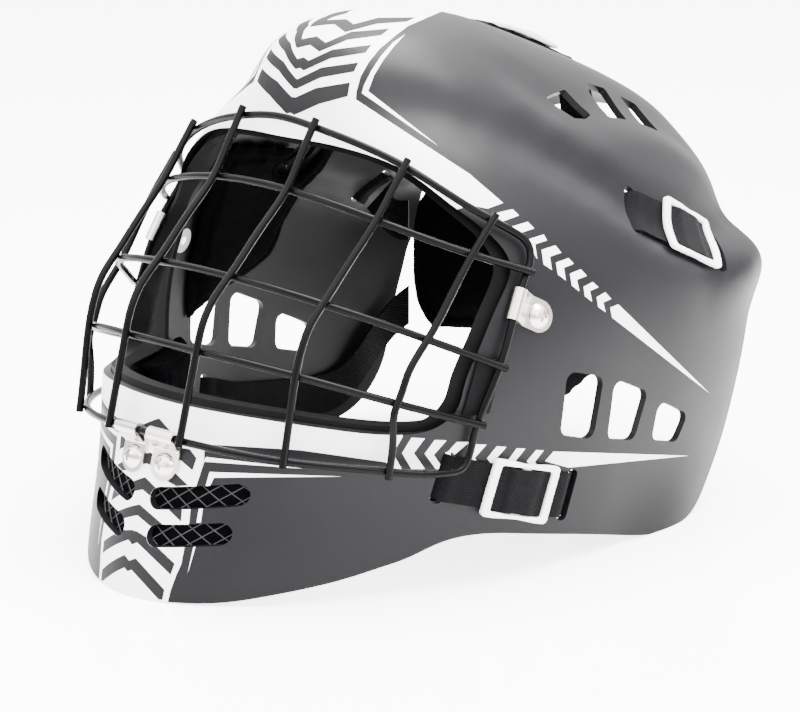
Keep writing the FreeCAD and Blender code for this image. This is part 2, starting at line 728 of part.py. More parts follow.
def frame_nodes():
    """Right half of the perimeter wire, from the crown round to the chin."""
    top = [front_point(a * HALF_WIDTH, b * HEIGHT, FRAME_STANDOFF * (1 + extra / 6))
           for a, b, extra in TOP_WIRE_SHARES]
    sides = [side_point(a * CHIN_REACH, b * HEIGHT, FRAME_STANDOFF) for a, b in SIDE_WIRE_SHARES]
    corner = [side_point(CORNER_SIDE_SHARES[0] * CHIN_REACH, CORNER_SIDE_SHARES[1] * HEIGHT,
                         (FRAME_STANDOFF + CHIN_STANDOFF) / 2),
              front_point(CORNER_FRONT_SHARES[0] * HALF_WIDTH, CORNER_FRONT_SHARES[1] * HEIGHT, CHIN_STANDOFF)]
    bottom = [front_point(a * HALF_WIDTH, b * HEIGHT, CHIN_STANDOFF) for a, b in BOTTOM_WIRE_SHARES]
    return top, sides, corner, bottom


def flip(p):
    return Vector(-p.x, p.y, p.z)


def frame_line():
    """Points along the right half of the perimeter wire, from middle to middle."""
    top, sides, corner, bottom = frame_nodes()
    half = top + sides + corner + bottom
    samples = smooth([flip(top[2]), flip(top[1])] + half + [flip(bottom[-2]), flip(bottom[-3])], FRAME_SAMPLES, 2)
    samples[0].x = 0
    samples[-1].x = 0
    return samples


def outward(tangent_a, tangent_b):
    """Common normal of two crossing wires, pointing away from the head."""
    normal = tangent_a.cross(tangent_b).normalize()
    if normal.y > 0:
        normal = normal * -1
    return normal


FRAME_SAMPLES = 44
BAR_SAMPLES = 22
CROSS_SAMPLES = 30


def cage():
    """Perimeter wire, six upright bars and three cross bars."""
    top, sides, corner, bottom = frame_nodes()
    half = frame_line()
    frame = pipe(half + [flip(p) for p in reversed(half[1:-1])], WIRE_RADIUS, True)
    gap = 2 * WIRE_RADIUS - WELD_BITE
    uprights = []
    crossings = [[], [], []]
    for k, (share, kink, first, second, third) in enumerate(BAR_SHARES):
        x = share * HALF_WIDTH
        nodes = [Vector(x, a * CHIN_REACH, b * HEIGHT) for a, b in (kink, first, second, third)]
        kink_p, first_p, second_p, third_p = nodes
        top_tie = top[k + 1]
        low_tie = bottom[2 - k]
        upper_tangent = (kink_p - first_p).normalize()
        lower_tangent = (low_tie - kink_p).normalize()
        beside_top = (top[min(k + 2, 3)] - top[k]).normalize()
        beside_low = (bottom[1 - k] if k < 2 else corner[0]) - bottom[3 - k]
        head = top_tie + outward(upper_tangent, beside_top) * gap
        foot = low_tie + outward(lower_tangent, beside_low.normalize()) * gap
        for node in nodes:
            node.x = foot.x + (head.x - foot.x) * (node.z - foot.z) / (head.z - foot.z)
        down = (first_p - head).normalize()
        rise = (foot - kink_p).normalize()
        bend = WIRE_RADIUS * 3
        path = [head - down * (WIRE_RADIUS * 1.3), head, head + (first_p - head) * 0.5, first_p,
                (first_p + second_p) * 0.5, second_p, kink_p + (second_p - kink_p).normalize() * bend,
                kink_p + rise * bend, third_p, (third_p + foot) * 0.5, foot, foot + rise * (WIRE_RADIUS * 1.3)]
        uprights.append(pipe(smooth(path, BAR_SAMPLES), WIRE_RADIUS))
        for row, node in zip(crossings, (first_p, second_p, third_p)):
            row.append((node, upper_tangent if row is not crossings[2] else rise))
    crosses = []
    for row, tie in zip(crossings, (sides[1], sides[3], sides[4])):
        nodes = [node for node, tangent in row]
        line = [flip(nodes[0])] + nodes + [tie]
        placed = []
        for k, (node, tangent) in enumerate(row):
            beside = (line[k + 2] - line[k]).normalize()
            placed.append(node - outward(tangent, beside) * gap)
        at_side = skin_normal(side_plain(tie)) * gap
        end = tie + at_side
        over = (end - placed[-1]).normalize() * (WIRE_RADIUS * 1.1)
        half = placed + [end, end + over]
        path = [flip(p) for p in reversed(half)] + half
        crosses.append(pipe(smooth(path, CROSS_SAMPLES), WIRE_RADIUS))
    return frame, uprights, crosses


def side_plain(p):
    return meet(Vector(HALF_WIDTH * 0.3, p.y, p.z), Vector(1, 0, 0), HALF_WIDTH * 1.2)


CHIN_SCREW = Vector(0.079 * HALF_WIDTH, 0, 0.2430 * HEIGHT)
SIDE_SCREW = Vector(0, -0.316 * CHIN_REACH, 0.498 * HEIGHT)


class Fixing:
    """Local frame of one clip: across the wire, towards it and out of the shell."""

    def __init__(self, screw_base, line):
        foot = lifted(screw_base, 0)
        near = min(range(1, len(line) - 1), key=lambda i: (line[i] - foot).Length)
        way = (line[near + 1] - line[near - 1]).normalize()
        wire = line[near] + way * (foot - line[near]).dot(way)
        self.foot = foot
        self.side = way
        self.normal = skin_normal(screw_base)
        self.normal = (self.normal - way * self.normal.dot(way)).normalize()
        self.arm = self.normal.cross(self.side)
        reach = wire - foot
        if reach.dot(self.arm) < 0:
            self.side = self.side * -1
            self.arm = self.arm * -1
        self.length = reach.dot(self.arm)
        self.rise = reach.dot(self.normal)

    def place(self, shape):
        """Move a shape drawn with Y to the wire and Z outward onto the shell."""
        s, a, n, f = self.side, self.arm, self.normal, self.foot
        matrix = FreeCAD.Matrix(s.x, a.x, n.x, f.x, s.y, a.y, n.y, f.y, s.z, a.z, n.z, f.z, 0, 0, 0, 1)
        copy = shape.copy()
        copy.Placement = FreeCAD.Placement(matrix)
        return copy


def teardrop(radius, length, rise, low, high, width):
    """Loop round the wire with two straight flanks down to the plate."""
    disc = Part.makeCylinder(radius, width, Vector(-width / 2, length, rise), Vector(1, 0, 0))
    upper = Vector(-width / 2, length - radius * 0.35, rise + radius * 0.93)
    lower = Vector(-width / 2, length + radius * 0.20, rise - radius * 0.97)
    toe = SCREW_HEAD_RADIUS * 1.05
    near = Vector(-width / 2, toe, high)
    base = Vector(-width / 2, toe, low)
    wire = Part.makePolygon([upper, near, base, lower, upper])
    return disc.fuse(Part.Face(wire).extrude(Vector(width, 0, 0)))


def clip(fixing):
    """Bent sheet-metal strap that holds a cage wire to the shell."""
    low = CLIP_SEAT
    high = CLIP_SEAT + CLIP_SHEET
    half = CLIP_WIDTH / 2
    plate = Part.makeBox(CLIP_WIDTH, SCREW_HEAD_RADIUS * 1.1, CLIP_SHEET, Vector(-half, 0, low))
    plate = plate.fuse(Part.makeCylinder(half, CLIP_SHEET, Vector(0, 0, low)))
    hole = WIRE_RADIUS + CLIP_WIRE_GAP
    loop = teardrop(hole + CLIP_SHEET, fixing.length, fixing.rise, low, high, CLIP_WIDTH)
    space = teardrop(hole, fixing.length, fixing.rise, high * 1.2, high * 1.2, CLIP_WIDTH * 2)
    body = plate.fuse(loop).cut(space)
    body = body.cut(Part.makeCylinder(SHANK_RADIUS + SHANK_CLEARANCE, CLIP_SHEET * 4, Vector(0, 0, low - CLIP_SHEET)))
    return fixing.place(body.removeSplitter())


def screw(fixing):
    """Domed head with a cross recess and a shank through to the nut."""
    seat = CLIP_SEAT + CLIP_SHEET
    ball = (SCREW_HEAD_RADIUS ** 2 + SCREW_HEAD_RISE ** 2) / (2 * SCREW_HEAD_RISE)
    head = Part.makeSphere(ball, Vector(0, 0, seat + SCREW_HEAD_RISE - ball))
    head = head.common(Part.makeCylinder(SCREW_HEAD_RADIUS, SCREW_HEAD_RISE * 2, Vector(0, 0, seat)))
    long = SCREW_HEAD_RADIUS * 0.95
    wide = SCREW_HEAD_RADIUS * 0.22
    deep = SCREW_HEAD_RISE * 0.55
    for dx, dy in ((long, wide), (wide, long)):
        head = head.cut(Part.makeBox(dx, dy, deep * 2, Vector(-dx / 2, -dy / 2, seat + SCREW_HEAD_RISE - deep)))
    depth = WALL + NUT_GAP + NUT_THICKNESS
    shank = Part.makeCylinder(SHANK_RADIUS, depth + seat, Vector(0, 0, -depth))
    return fixing.place(head.fuse(shank))


def nut(fixing):
    """Flanged nut on the inside of the shell."""
    top = -(WALL + NUT_GAP)
    flange = Part.makeCylinder(NUT_RADIUS, NUT_THICKNESS, Vector(0, 0, top - NUT_THICKNESS))
    bore = Part.makeCylinder(SHANK_RADIUS + SHANK_CLEARANCE / 3, NUT_THICKNESS * 3, Vector(0, 0, top - NUT_THICKNESS * 2))
    return fixing.place(flange.cut(bore))


def screw_hole(fixing, radius, deep):
    return fixing.place(Part.makeCylinder(radius, deep * 2, Vector(0, 0, -deep)))


def fixings():
    line = frame_line()
    screw_base = meet(Vector(CHIN_SCREW.x, -CHIN_REACH * 0.22, CHIN_SCREW.z), Vector(0, -1, 0), CHIN_REACH * 1.2)
    return {"chin": Fixing(screw_base, line), "side": Fixing(side_plain(SIDE_SCREW), line)}


def crowned(thickness, edge_share, power=4):
    """Cushion depth over its patch: full in the middle, drawn in at the rim."""
    def depth(u, v):
        shape = (1 - (2 * u - 1) ** power) * (1 - (2 * v - 1) ** power)
        return -(WALL + SEAT_GAP) - thickness * (edge_share + (1 - edge_share) * shape)
    return depth


def pad_patch(corners, count_u, count_v, thickness, edge_share=0.45):
    """Cushion on the inside of the shell over a four-sided patch of guide points."""
    bases = radial_bases(corners, count_u, count_v)
    return lofted_sheet(bases, crowned(thickness, edge_share), constant(-(WALL + SEAT_GAP)))


def radial_bases(corners, count_u, count_v):
    """Skin points seen from the centre through a four-sided patch of guides."""
    bases = []
    for i in range(count_u + 1):
        row = []
        for j in range(count_v + 1):
            guide = between(corners, i / count_u, j / count_v)
            row.append(meet(CENTRE, (guide - CENTRE).normalize(), HEIGHT * 1.9))
        bases.append(row)
    return bases


def at(x, y, z):
    """Guide point from shares of the half breadth, chin reach and height."""
    return Vector(x * HALF_WIDTH, y * CHIN_REACH, z * HEIGHT)


# Brow cushion: its end, the drop of its height there and its distance from the trim
BROW_HALF_SHARE = 0.43
BROW_TAPER_SHARE = 0.42
BROW_CLEAR_SHARE = 0.108


def brow_pad():
    """Cushion above the face opening, its lower edge along the trim."""
    grow = TRIM_OUTER_SHARE + BROW_CLEAR_SHARE
    middle = 0.565 * HEIGHT
    rim = [(-a, b) for a, b in reversed(FACE_SHARES[:5])] + list(FACE_SHARES[:5])
    xs = [a * HALF_WIDTH * grow for a, b in rim]
    zs = [middle + (b * HEIGHT - middle) * grow for a, b in rim]
    bend = spline_slopes(xs, zs)
    bases = []
    for i in range(27):
        place = i / 13 - 1
        x = place * BROW_HALF_SHARE * HALF_WIDTH
        foot = spline_value(xs, zs, bend, x)
        rise = BROW_HEIGHT * (1 - BROW_TAPER_SHARE * place ** 2)
        row = []
        for j in range(15):
            start = Vector(x, -CHIN_REACH * 0.22, foot + rise * j / 14)
            row.append(meet(start, Vector(0, -1, 0), CHIN_REACH * 1.2))
        bases.append(row)
    return lofted_sheet(bases, crowned(BROW_THICKNESS, 0.45, 2), constant(-(WALL + SEAT_GAP)))


def crown_pad():
    return pad_patch((at(-0.36, -0.36, 0.965), at(0.36, -0.36, 0.965), at(0.33, 0.01, 0.965), at(-0.33, 0.01, 0.965)),
                     14, 14, CROWN_THICKNESS)


def side_pad():
    """Upper side cushion beside the temple, cut away at the first ear vent."""
    pad = pad_patch((at(1.0, -0.300, 0.30), at(1.0, 0.02, 0.39), at(0.86, 0.18, 0.66), at(0.84, -0.26, 0.74)),
                    20, 20, SIDE_THICKNESS)
    return pad


def cheek_pad():
    return pad_patch((at(0.80, -0.64, 0.115), at(1.0, -0.30, 0.115), at(1.0, -0.315, 0.30), at(0.86, -0.56, 0.30)),
                     16, 14, CHEEK_THICKNESS)


def chin_pad():
    """Cushion along the lower lip of the chin."""
    return front_pad(CHIN_PAD_SHARES, 16, 6, crowned(CHIN_PAD_THICKNESS, 0.45), constant(-(WALL + SEAT_GAP)))


# Chin cushion and slot screen in front view: breadth and height of four corners
CHIN_PAD_SHARES = ((-0.36, 0.024), (0.36, 0.024), (0.33, 0.078), (-0.33, 0.078))
MESH_SHARES = ((0.030, 0.088), (0.400, 0.100), (0.400, 0.240), (0.030, 0.222))


def front_pad(shares, count_u, count_v, low, high):
    """Patch on the inside of the chin, from corners given in front view."""
    corners = [Vector(a * HALF_WIDTH, 0, b * HEIGHT) for a, b in shares]
    bases = []
    for i in range(count_u + 1):
        row = []
        for j in range(count_v + 1):
            guide = between(corners, i / count_u, j / count_v)
            row.append(meet(Vector(guide.x, -CHIN_REACH * 0.22, guide.z), Vector(0, -1, 0), CHIN_REACH * 1.2))
        bases.append(row)
    return lofted_sheet(bases, low, high)


def between(corners, u, v):
    """Point of a four-sided patch."""
    a, b, c, d = corners
    return a * ((1 - u) * (1 - v)) + b * (u * (1 - v)) + c * (u * v) + d * ((1 - u) * v)


def chin_mesh():
    """Thin screen behind the two slots of one side."""
    high = -(WALL + SEAT_GAP)
    return front_pad(MESH_SHARES, 12, 12, constant(high - MESH_THICKNESS), constant(high))


def sheet_patch(corners, count_u, count_v, low, high):
    return lofted_sheet(radial_bases(corners, count_u, count_v), constant(low), constant(high))


TRIM_INNER_SHARE = 0.945
TRIM_OUTER_SHARE = 1.07


def face_trim():
    """Soft rim along the inside of the face opening."""
    patch = sheet_patch((at(-1.02, -0.44, 0.22), at(1.02, -0.44, 0.22), at(0.86, -0.30, 0.85), at(-0.86, -0.30, 0.85)),
                        40, 30, -(WALL + SEAT_GAP + TRIM_DEPTH), -(WALL + SEAT_GAP))
    ring = patch.common(face_prism(TRIM_OUTER_SHARE))
    return ring.cut(face_prism(TRIM_INNER_SHARE))


def tag():
    """Blank moulded tag beside the face opening."""
    return sheet_patch((at(0.875, -0.512, 0.335), at(0.915, -0.450, 0.335), at(0.915, -0.415, 0.435), at(0.885, -0.472, 0.435)),
                       6, 6, TAG_LIFT, TAG_RISE)


def back_point(x_share, z_share, lift):
    """Point on the bowed back surface, raised outward by lift."""
    x = x_share * BACK_HALF
    z = BACK_LOW + z_share * (BACK_HIGH - BACK_LOW)
    corner = 1 - 0.16 * (2 * z_share - 1) ** 4
    bow = BACK_BOW * x_share ** 2
    slope = math.atan2(2 * BACK_BOW * x_share, BACK_HALF)
    return Vector(x * corner + math.sin(slope) * lift, BACK_REACH - bow + math.cos(slope) * lift, z)


def back_sheet(low_lift, high_lift, inset):
    low = []
    high = []
    for i in range(15):
        u = (i / 7 - 1) * inset
        low.append([back_point(u, 0.5 + (j / 8 - 0.5) * inset, low_lift(i / 14, j / 8)) for j in range(9)])
        high.append([back_point(u, 0.5 + (j / 8 - 0.5) * inset, high_lift(i / 14, j / 8)) for j in range(9)])
    return sheet(low, high)


def back_pad():
    def depth(u, v):
        shape = (1 - (2 * u - 1) ** 4) * (1 - (2 * v - 1) ** 4)
        return -BACK_THICKNESS * (0.45 + 0.55 * shape)
    return back_sheet(depth, constant(0), 1.0)


def back_plate():
    return back_sheet(constant(SEAT_GAP), constant(SEAT_GAP + BACK_PLATE), 0.86)


def run(points, width_vectors, thickness):
    """Webbing through space: centre points with the half width vector at each."""
    knots = [0.0]
    for i in range(1, len(points)):
        knots.append(knots[-1] + (points[i] - points[i - 1]).Length)
    columns = []
    for getter in (lambda p: p.x, lambda p: p.y, lambda p: p.z):
        for source in (points, width_vectors):
            values = [getter(p) for p in source]
            columns.append((values, spline_slopes(knots, values)))

    def sample(s):
        v = [spline_value(knots, values, bend, s) for values, bend in columns]
        return Vector(v[0], v[2], v[4]), Vector(v[1], v[3], v[5])

    low = []
    high = []
    count = 26
    step = knots[-1] / count
    for i in range(count + 1):
        s = i * step
        centre, half = sample(s)
        fore = sample(min(s + step * 0.3, knots[-1]))[0]
        back = sample(max(s - step * 0.3, 0))[0]
        normal = (fore - back).cross(half).normalize() * (thickness / 2)
        low.append([centre + half * (j / 2 - 1) - normal for j in range(5)])
        high.append([centre + half * (j / 2 - 1) + normal for j in range(5)])
    return sheet(low, high)


def tail(strap):
    """Inner end of the outer run: its place, half width vector and way on."""
    half = strap.length / 2
    deep = -(WALL + SEAT_GAP + WEB_THICKNESS / 2)
    end = strap.point(half + SLOT_WIDTH * 1.3, 0, deep)
    before = strap.point(half + SLOT_WIDTH * 1.1, 0, deep)
    return end, strap.across * (WEB_WIDTH / 2), (end - before).normalize()


def harness_top(strap):
    end, half, way = tail(strap)
    start = end + way * SEAT_GAP
    goal = back_point(0, 1.0, -BACK_THICKNESS * 0.2) + Vector(0, 0, RUN_GAP)
    way = (way - strap.normal * WEB_SINK_SHARE).normalize()
    middle = (start + goal) * 0.5 - Vector(0, WEB_WIDTH * 0.05, 0)
    return run([start, start + way * WEB_THICKNESS * 4, middle, goal], [half, half, half, half], WEB_THICKNESS)


def back_edge(z_share, away):
    """Place beside the back cushion, clear of its widest part that the webbing passes."""
    slope = math.atan2(2 * BACK_BOW, BACK_HALF)
    spread = WEB_WIDTH / 2 / (BACK_HIGH - BACK_LOW)
    widest = max(z_share - spread, min(0.5, z_share + spread))
    foot = back_point(1.0, widest, -BACK_THICKNESS * 0.2)
    foot.z = back_point(1.0, z_share, 0).z
    return foot + Vector(math.cos(slope) * away, -math.sin(slope) * away, 0)


def harness_upper(strap):
    end, half, way = tail(strap)
    start = end + way * RUN_GAP - strap.normal * (WEB_THICKNESS * 3)
    side = Vector(0, 0, half.z / abs(half.z) * WEB_WIDTH / 2)
    goal = back_edge(0.72, RUN_GAP)
    before = back_edge(0.72, WEB_WIDTH * 0.30)
    bend = start + way * (WEB_WIDTH * 0.08) - strap.normal * (WEB_WIDTH * 0.15) - Vector(0, 0, WEB_WIDTH * 0.22)
    return run([start, bend, before, goal], [half * 1.1 - side * 0.1, half * 0.5 + side * 0.5, side, side], WEB_THICKNESS)


# Inner run of the lower strap along the wall: reach and height shares, and
# the share of the webbing's width by which it stands off the wall
LOWER_RUN_SHARES = ((-0.12, 0.108, 0.0), (0.02, 0.086, 0.0), (0.14, 0.072, 0.0), (0.23, 0.080, 0.04), (0.305, 0.135, 0.12))


def harness_lower(strap):
    end, half, way = tail(strap)
    deep = -(WALL + SEAT_GAP * 2 + WEB_THICKNESS)
    start = end + way * SEAT_GAP
    points = [start]
    for a, b, off in LOWER_RUN_SHARES:
        points.append(side_point(a * CHIN_REACH, b * HEIGHT, deep - off * WEB_WIDTH))
    points.append(back_edge(0.16, WEB_WIDTH * 0.22) - Vector(0, 0, WEB_WIDTH * 0.15))
    points.append(back_edge(0.16, RUN_GAP * 1.5))
    side = Vector(0, 0, half.z / abs(half.z) * WEB_WIDTH / 2)
    halves = [half] + [side] * (len(points) - 1)
    return run(points, halves, WEB_THICKNESS)


def shell_cutters(straps, places):
    cutters = [face_prism(1.0)]
    single = [chin_slot(shares, CHIN_SLOT_RADIUS) for shares in CHIN_SLOT_SHARES]
    single += [ear_vent(shares, EAR_VENT_RADIUS, 1.0) for shares in EAR_VENT_SHARES]
    single += [crown_vent(shares) for shares in CROWN_VENT_SHARES]
    single += [screw_hole(fixing, SHANK_RADIUS + SHANK_CLEARANCE, WALL * 3) for fixing in places.values()]
    for name in ("upper", "lower"):
        single += [straps[name].slot(-1), straps[name].slot(1)]
    cutters += single + [mirrored(shape) for shape in single]
    cutters += [straps["top"].slot(-1), straps["top"].slot(1)]
    return cutters


def build_shell(straps, places):
    bowl = lofted_sheet(bowl_bases(), constant(-WALL), constant(0))
    body = bowl.common(keep_block())
    return body.cut(shell_cutters(straps, places))


def write(name, shape):
    shape = shape.copy()
    shape.translate(Vector(0, BASE_SHIFT, 0))
    shape.exportStep("parts/%s.step" % name)


def write_pair(name, shape):
    write(name + "_left", shape)
    write(name + "_right", mirrored(shape))


def main():
    os.makedirs("parts", exist_ok=True)
    straps = strap_frames()
    places = fixings()
    write("shell", build_shell(straps, places))
    frame, uprights, crosses = cage()
    write("cage_frame", frame)
    for k, bar in enumerate(uprights):
        write_pair("cage_bar_%d" % (k + 1), bar)
    for k, bar in enumerate(crosses):
        write("cage_cross_%d" % (k + 1), bar)
    for name, fixing in places.items():
        write_pair(name + "_clip", clip(fixing))
        write_pair(name + "_screw", screw(fixing))
        write_pair(name + "_nut", nut(fixing))
    nut_room = [screw_hole(fixing, NUT_RADIUS * 1.15, WALL * 8) for fixing in places.values()]
    write("brow_pad", brow_pad())
    write("crown_pad", crown_pad())
    vents = [ear_vent(shares, EAR_VENT_RADIUS, 1.12) for shares in EAR_VENT_SHARES]
    write_pair("side_pad", side_pad().cut(vents[1:] + [nut_room[1], strap_room(straps["upper"], -1)]))
    write_pair("cheek_pad", cheek_pad().cut([strap_room(straps["lower"], -1), face_prism(TRIM_OUTER_SHARE + 0.02)]))
    write("chin_pad", chin_pad())
    write_pair("chin_mesh", chin_mesh().cut(nut_room[0]))
    write("face_trim", face_trim())
    write_pair("tag", tag())
    for name, strap in straps.items():
        pieces = {"strap": strap_band(strap), "buckle": buckle_ring(strap), "loop": buckle_loop(strap)}
        for kind, shape in pieces.items():
            if name == "top":
                write("%s_%s" % (kind, name), shape)
            else:
                write_pair("%s_%s" % (kind, name), shape)
    write("harness_top", harness_top(straps["top"]))
    write_pair("harness_upper", harness_upper(straps["upper"]))
    write_pair("harness_lower", harness_lower(straps["lower"]))
    write("back_pad", back_pad())
    write("back_plate", back_plate())


main()
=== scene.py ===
import json
import math

import bmesh
import bpy
import numpy as np
from mathutils import Matrix, Vector
from mathutils.bvhtree import BVHTree
from mathutils.geometry import tessellate_polygon
from mathutils.kdtree import KDTree


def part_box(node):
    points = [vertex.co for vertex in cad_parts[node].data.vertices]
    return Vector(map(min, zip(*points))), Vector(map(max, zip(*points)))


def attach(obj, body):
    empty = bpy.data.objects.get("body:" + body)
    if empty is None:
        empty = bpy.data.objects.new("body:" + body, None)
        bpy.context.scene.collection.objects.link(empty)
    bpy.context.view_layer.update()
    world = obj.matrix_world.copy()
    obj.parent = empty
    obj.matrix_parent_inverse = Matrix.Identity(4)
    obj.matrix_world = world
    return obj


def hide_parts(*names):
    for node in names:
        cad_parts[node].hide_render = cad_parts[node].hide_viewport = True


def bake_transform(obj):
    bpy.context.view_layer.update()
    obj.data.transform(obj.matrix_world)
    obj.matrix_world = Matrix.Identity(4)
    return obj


bl_info = {
    "name": "Floorball goalkeeper mask",
    "version": (1, 0, 0),
    "blender": (4, 5, 0),
    "location": "3D View > Sidebar > Mask",
    "description": "Dresses the mask's rigid frame: paint, prints, cage, padding, webbing and studio",
    "category": "Object",
}

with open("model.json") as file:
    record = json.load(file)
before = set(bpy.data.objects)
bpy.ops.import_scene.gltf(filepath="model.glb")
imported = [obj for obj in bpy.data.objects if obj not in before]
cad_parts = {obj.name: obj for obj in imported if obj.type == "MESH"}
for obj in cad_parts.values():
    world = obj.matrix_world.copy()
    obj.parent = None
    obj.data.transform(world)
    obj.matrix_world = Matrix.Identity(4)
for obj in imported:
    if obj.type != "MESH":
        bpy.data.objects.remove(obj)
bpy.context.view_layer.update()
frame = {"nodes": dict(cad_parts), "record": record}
BODY_OF = {node: body for body, nodes in frame["record"]["behaviour"]["bodies"].items() for node in nodes}
MM = 0.001

# Camera: the photograph's own viewing angle, 800 by 712 pixels
TARGET = Vector((-1.11, 11.582, 69.04)) * MM
RIGHT = Vector((0.7431, 0.6691, 0.0))
UP = Vector((-0.1766, 0.1961, 0.9646))
BACK = Vector((0.6454, -0.7168, 0.2639))
DISTANCE = 1.423
FOCUS = 3100.0
MIDDLE = (400.0, 356.0)
SENSOR = 36.0
EYE = TARGET + BACK * DISTANCE

# Middle of the skull, and the point that the back cushion faces
SKULL = Vector((0.0, 3.7, 60.0)) * MM
BACK_FOCUS = Vector((0.0, 20.0, 83.0)) * MM

# Studio: lamps as name, place, aim, size (metres) and power (watts)
FLOOR_RADIUS = 12.0
FLOOR_DROP = 0.02 * MM
FLOOR_GLOW = 3.5
WALL_STRENGTH = 2.2
CEILING_STRENGTH = 8.5
LAMPS = (
    ("Top light", (0.1, 0.25, 1.5), (0, 0, 0.15), (1.3, 0.9), 110.0),
    ("Side light", (1.6, -0.6, 0.9), (0, 0, 0.1), (1.0, 1.0), 16.0),
    ("Front light", (-0.6, -1.7, 0.8), (0, 0, 0.1), (0.9, 1.2), 16.0),
)

# Mesh clean-up: vertices closer than this are one
WELD = 0.001 * MM
SLIVER = 0.0005 * MM

# Heights of the two printed films above the skin
LIGHT_LIFT = 0.10 * MM
DARK_LIFT = 0.22 * MM
FACING_OUT = 0.35         # least cosine to the outward way on the outer skin
MID_OVERLAP = 0.004       # how far past the mid-line the near skin is kept

# Cushions: cloth pressure and its frames, and the seam's place and breadth in mm
PRESSURE = 4.0
FRAMES = 20
SEAM_OFF = 5.5
SEAM_WIDE = 1.3

# Mesh sizes of the small mouldings
BUCKLE_VOXEL = 0.42 * MM
TAG_VOXEL = 0.35 * MM
PLATE_VOXEL = 0.7 * MM

# Chin screens: cells across, their spread, the bare margin and the wires' lift
LATTICE_CELLS = 16
LATTICE_WIDE = 1.15
LATTICE_HIGH = 0.85
LATTICE_MARGIN = 1.2 * MM
LATTICE_LIFT = 0.35 * MM

# Stops along a band at which its centre and breadth are taken
BAND_STOPS = 24

# Where each inner strap starts and ends along the back cushion; band() only checks that an entry is given and leaves
# the strap unattached, and the strap is not bent to these points
HARNESS_BENDS = {
    "top": (Vector((0, 128, 150)) * MM, Vector((0, 148, 150)) * MM),
    "upper": (Vector((0, 107, 100)) * MM, Vector((0, 120, 100)) * MM),
    "lower": (Vector((0, 60, 40)) * MM, Vector((0, 118, 40)) * MM),
}
STRAPS = ("top", "upper_left", "upper_right", "lower_left", "lower_right")
INNER_PADS = ("brow_pad", "crown_pad", "side_pad_left", "side_pad_right", "cheek_pad_left", "cheek_pad_right",
              "chin_pad")

# Light prints, as outlines in the photograph's pixels, near side only
LIGHT_PRINTS = (
    # forehead and the band over the face opening
    ((442, 11), (408.1, 25.7), (395.4, 35.3), (379.4, 48.8), (368.3, 62.4), (360.3, 76.7), (356.3, 91.1),
     (355.5, 99.4), (470, 174.3), (476.4, 180), (503, 202.8), (487.5, 208.4), (470, 205), (440, 215), (250, 215),
     (230, 100), (300, 20), (400, 0)),
    # thin line beside the forehead
    ((405, 34.2), (393, 42.5), (381, 56), (371.5, 70.4), (364.3, 84.7), (361.9, 93), (437.6, 145.3), (368, 91.1),
     (373.9, 75.2), (382.6, 60.8), (393, 47.3)),
    # row of slanted chevrons over the cheek
    ((492.3, 214), (512.7, 209.2), (518.8, 215.4), (503, 221.1)),
    ((511.5, 226.6), (527.7, 221.8), (534.1, 228.3), (521, 232.6)),
    ((526.9, 239.8), (543.7, 234.5), (546.9, 240.3), (535, 244.1), (537.1, 258.9)),
    ((541.7, 249.8), (555.3, 245.4), (561.2, 252.5), (549.7, 256.5), (551.8, 269.8), (543.7, 264.2)),
    ((556.1, 262.6), (568.5, 258.1), (573.6, 263.7), (563.6, 267.7), (565.7, 280.1), (558, 274.4)),
    ((570.1, 273.6), (580.8, 269.3), (586.7, 275.7), (576.8, 279.6), (579.2, 291.1), (572, 285.5)),
    ((583.7, 286.8), (592.8, 282), (598.3, 287.1), (589.9, 290.8), (592, 301.5), (585.1, 296.1)),
    ((596.8, 297.2), (605.2, 292.4), (611.1, 298.8), (603.1, 302.4), (605.5, 312), (598.3, 306.8)),
    ((610.3, 307.6), (618.3, 304.4), (709.2, 392.9), (612.2, 317.4)),
    # band under the face opening
    ((60, 380), (250, 385), (400, 425), (402.7, 436.5), (393, 453.1), (401.7, 469.3), (394.7, 468.9), (385, 462),
     (300, 450), (204, 444), (204, 461.5), (196, 486), (190.5, 507), (189, 522), (184.5, 546), (181, 564),
     (176, 575), (170.5, 590), (168, 600), (165, 620), (60, 620)),
    # row of chevrons under the cheek
    ((411.6, 437.8), (424.8, 438.4), (413.7, 453.1), (424.8, 468.9), (411.6, 468.9), (402.1, 453.1)),
    ((434.7, 440.1), (446.3, 440.5), (433.7, 454.8), (443.1, 468.9), (435.8, 468.9), (424.8, 453.8)),
    ((456.8, 442), (469.4, 442), (453.7, 455.2), (464, 470), (455, 470), (445.7, 454.2)),
    ((475.8, 444.3), (486.3, 444.7), (474.5, 457.8), (484.5, 471), (476, 471), (466.6, 456.5)),
    ((496.8, 446.4), (506.3, 447), (495.5, 459.3), (505, 472), (497, 472), (487.2, 458.3)),
    ((516.8, 448.3), (525.2, 448.7), (515.7, 460.5), (524.5, 472.5), (517, 472.5), (508.4, 459.9)),
    ((536.2, 450), (543.7, 450.4), (534.7, 461.8), (543, 473), (536, 473), (526.9, 461.2)),
    ((553.6, 451.5), (688.3, 455.7), (568.4, 467.5), (545.2, 461.1)),
    # thin lines round the chin panel
    ((204, 461.5), (206, 457), (302, 468.5)),
    ((209.6, 472), (341, 476.5), (213.7, 477.6), (209.6, 486.5), (205.5, 486.5)),
    ((199.3, 506.3), (202.9, 506.3), (200.6, 522.5), (196.5, 522.5)),
    ((193.8, 545), (195.9, 545), (187.6, 573)),
)
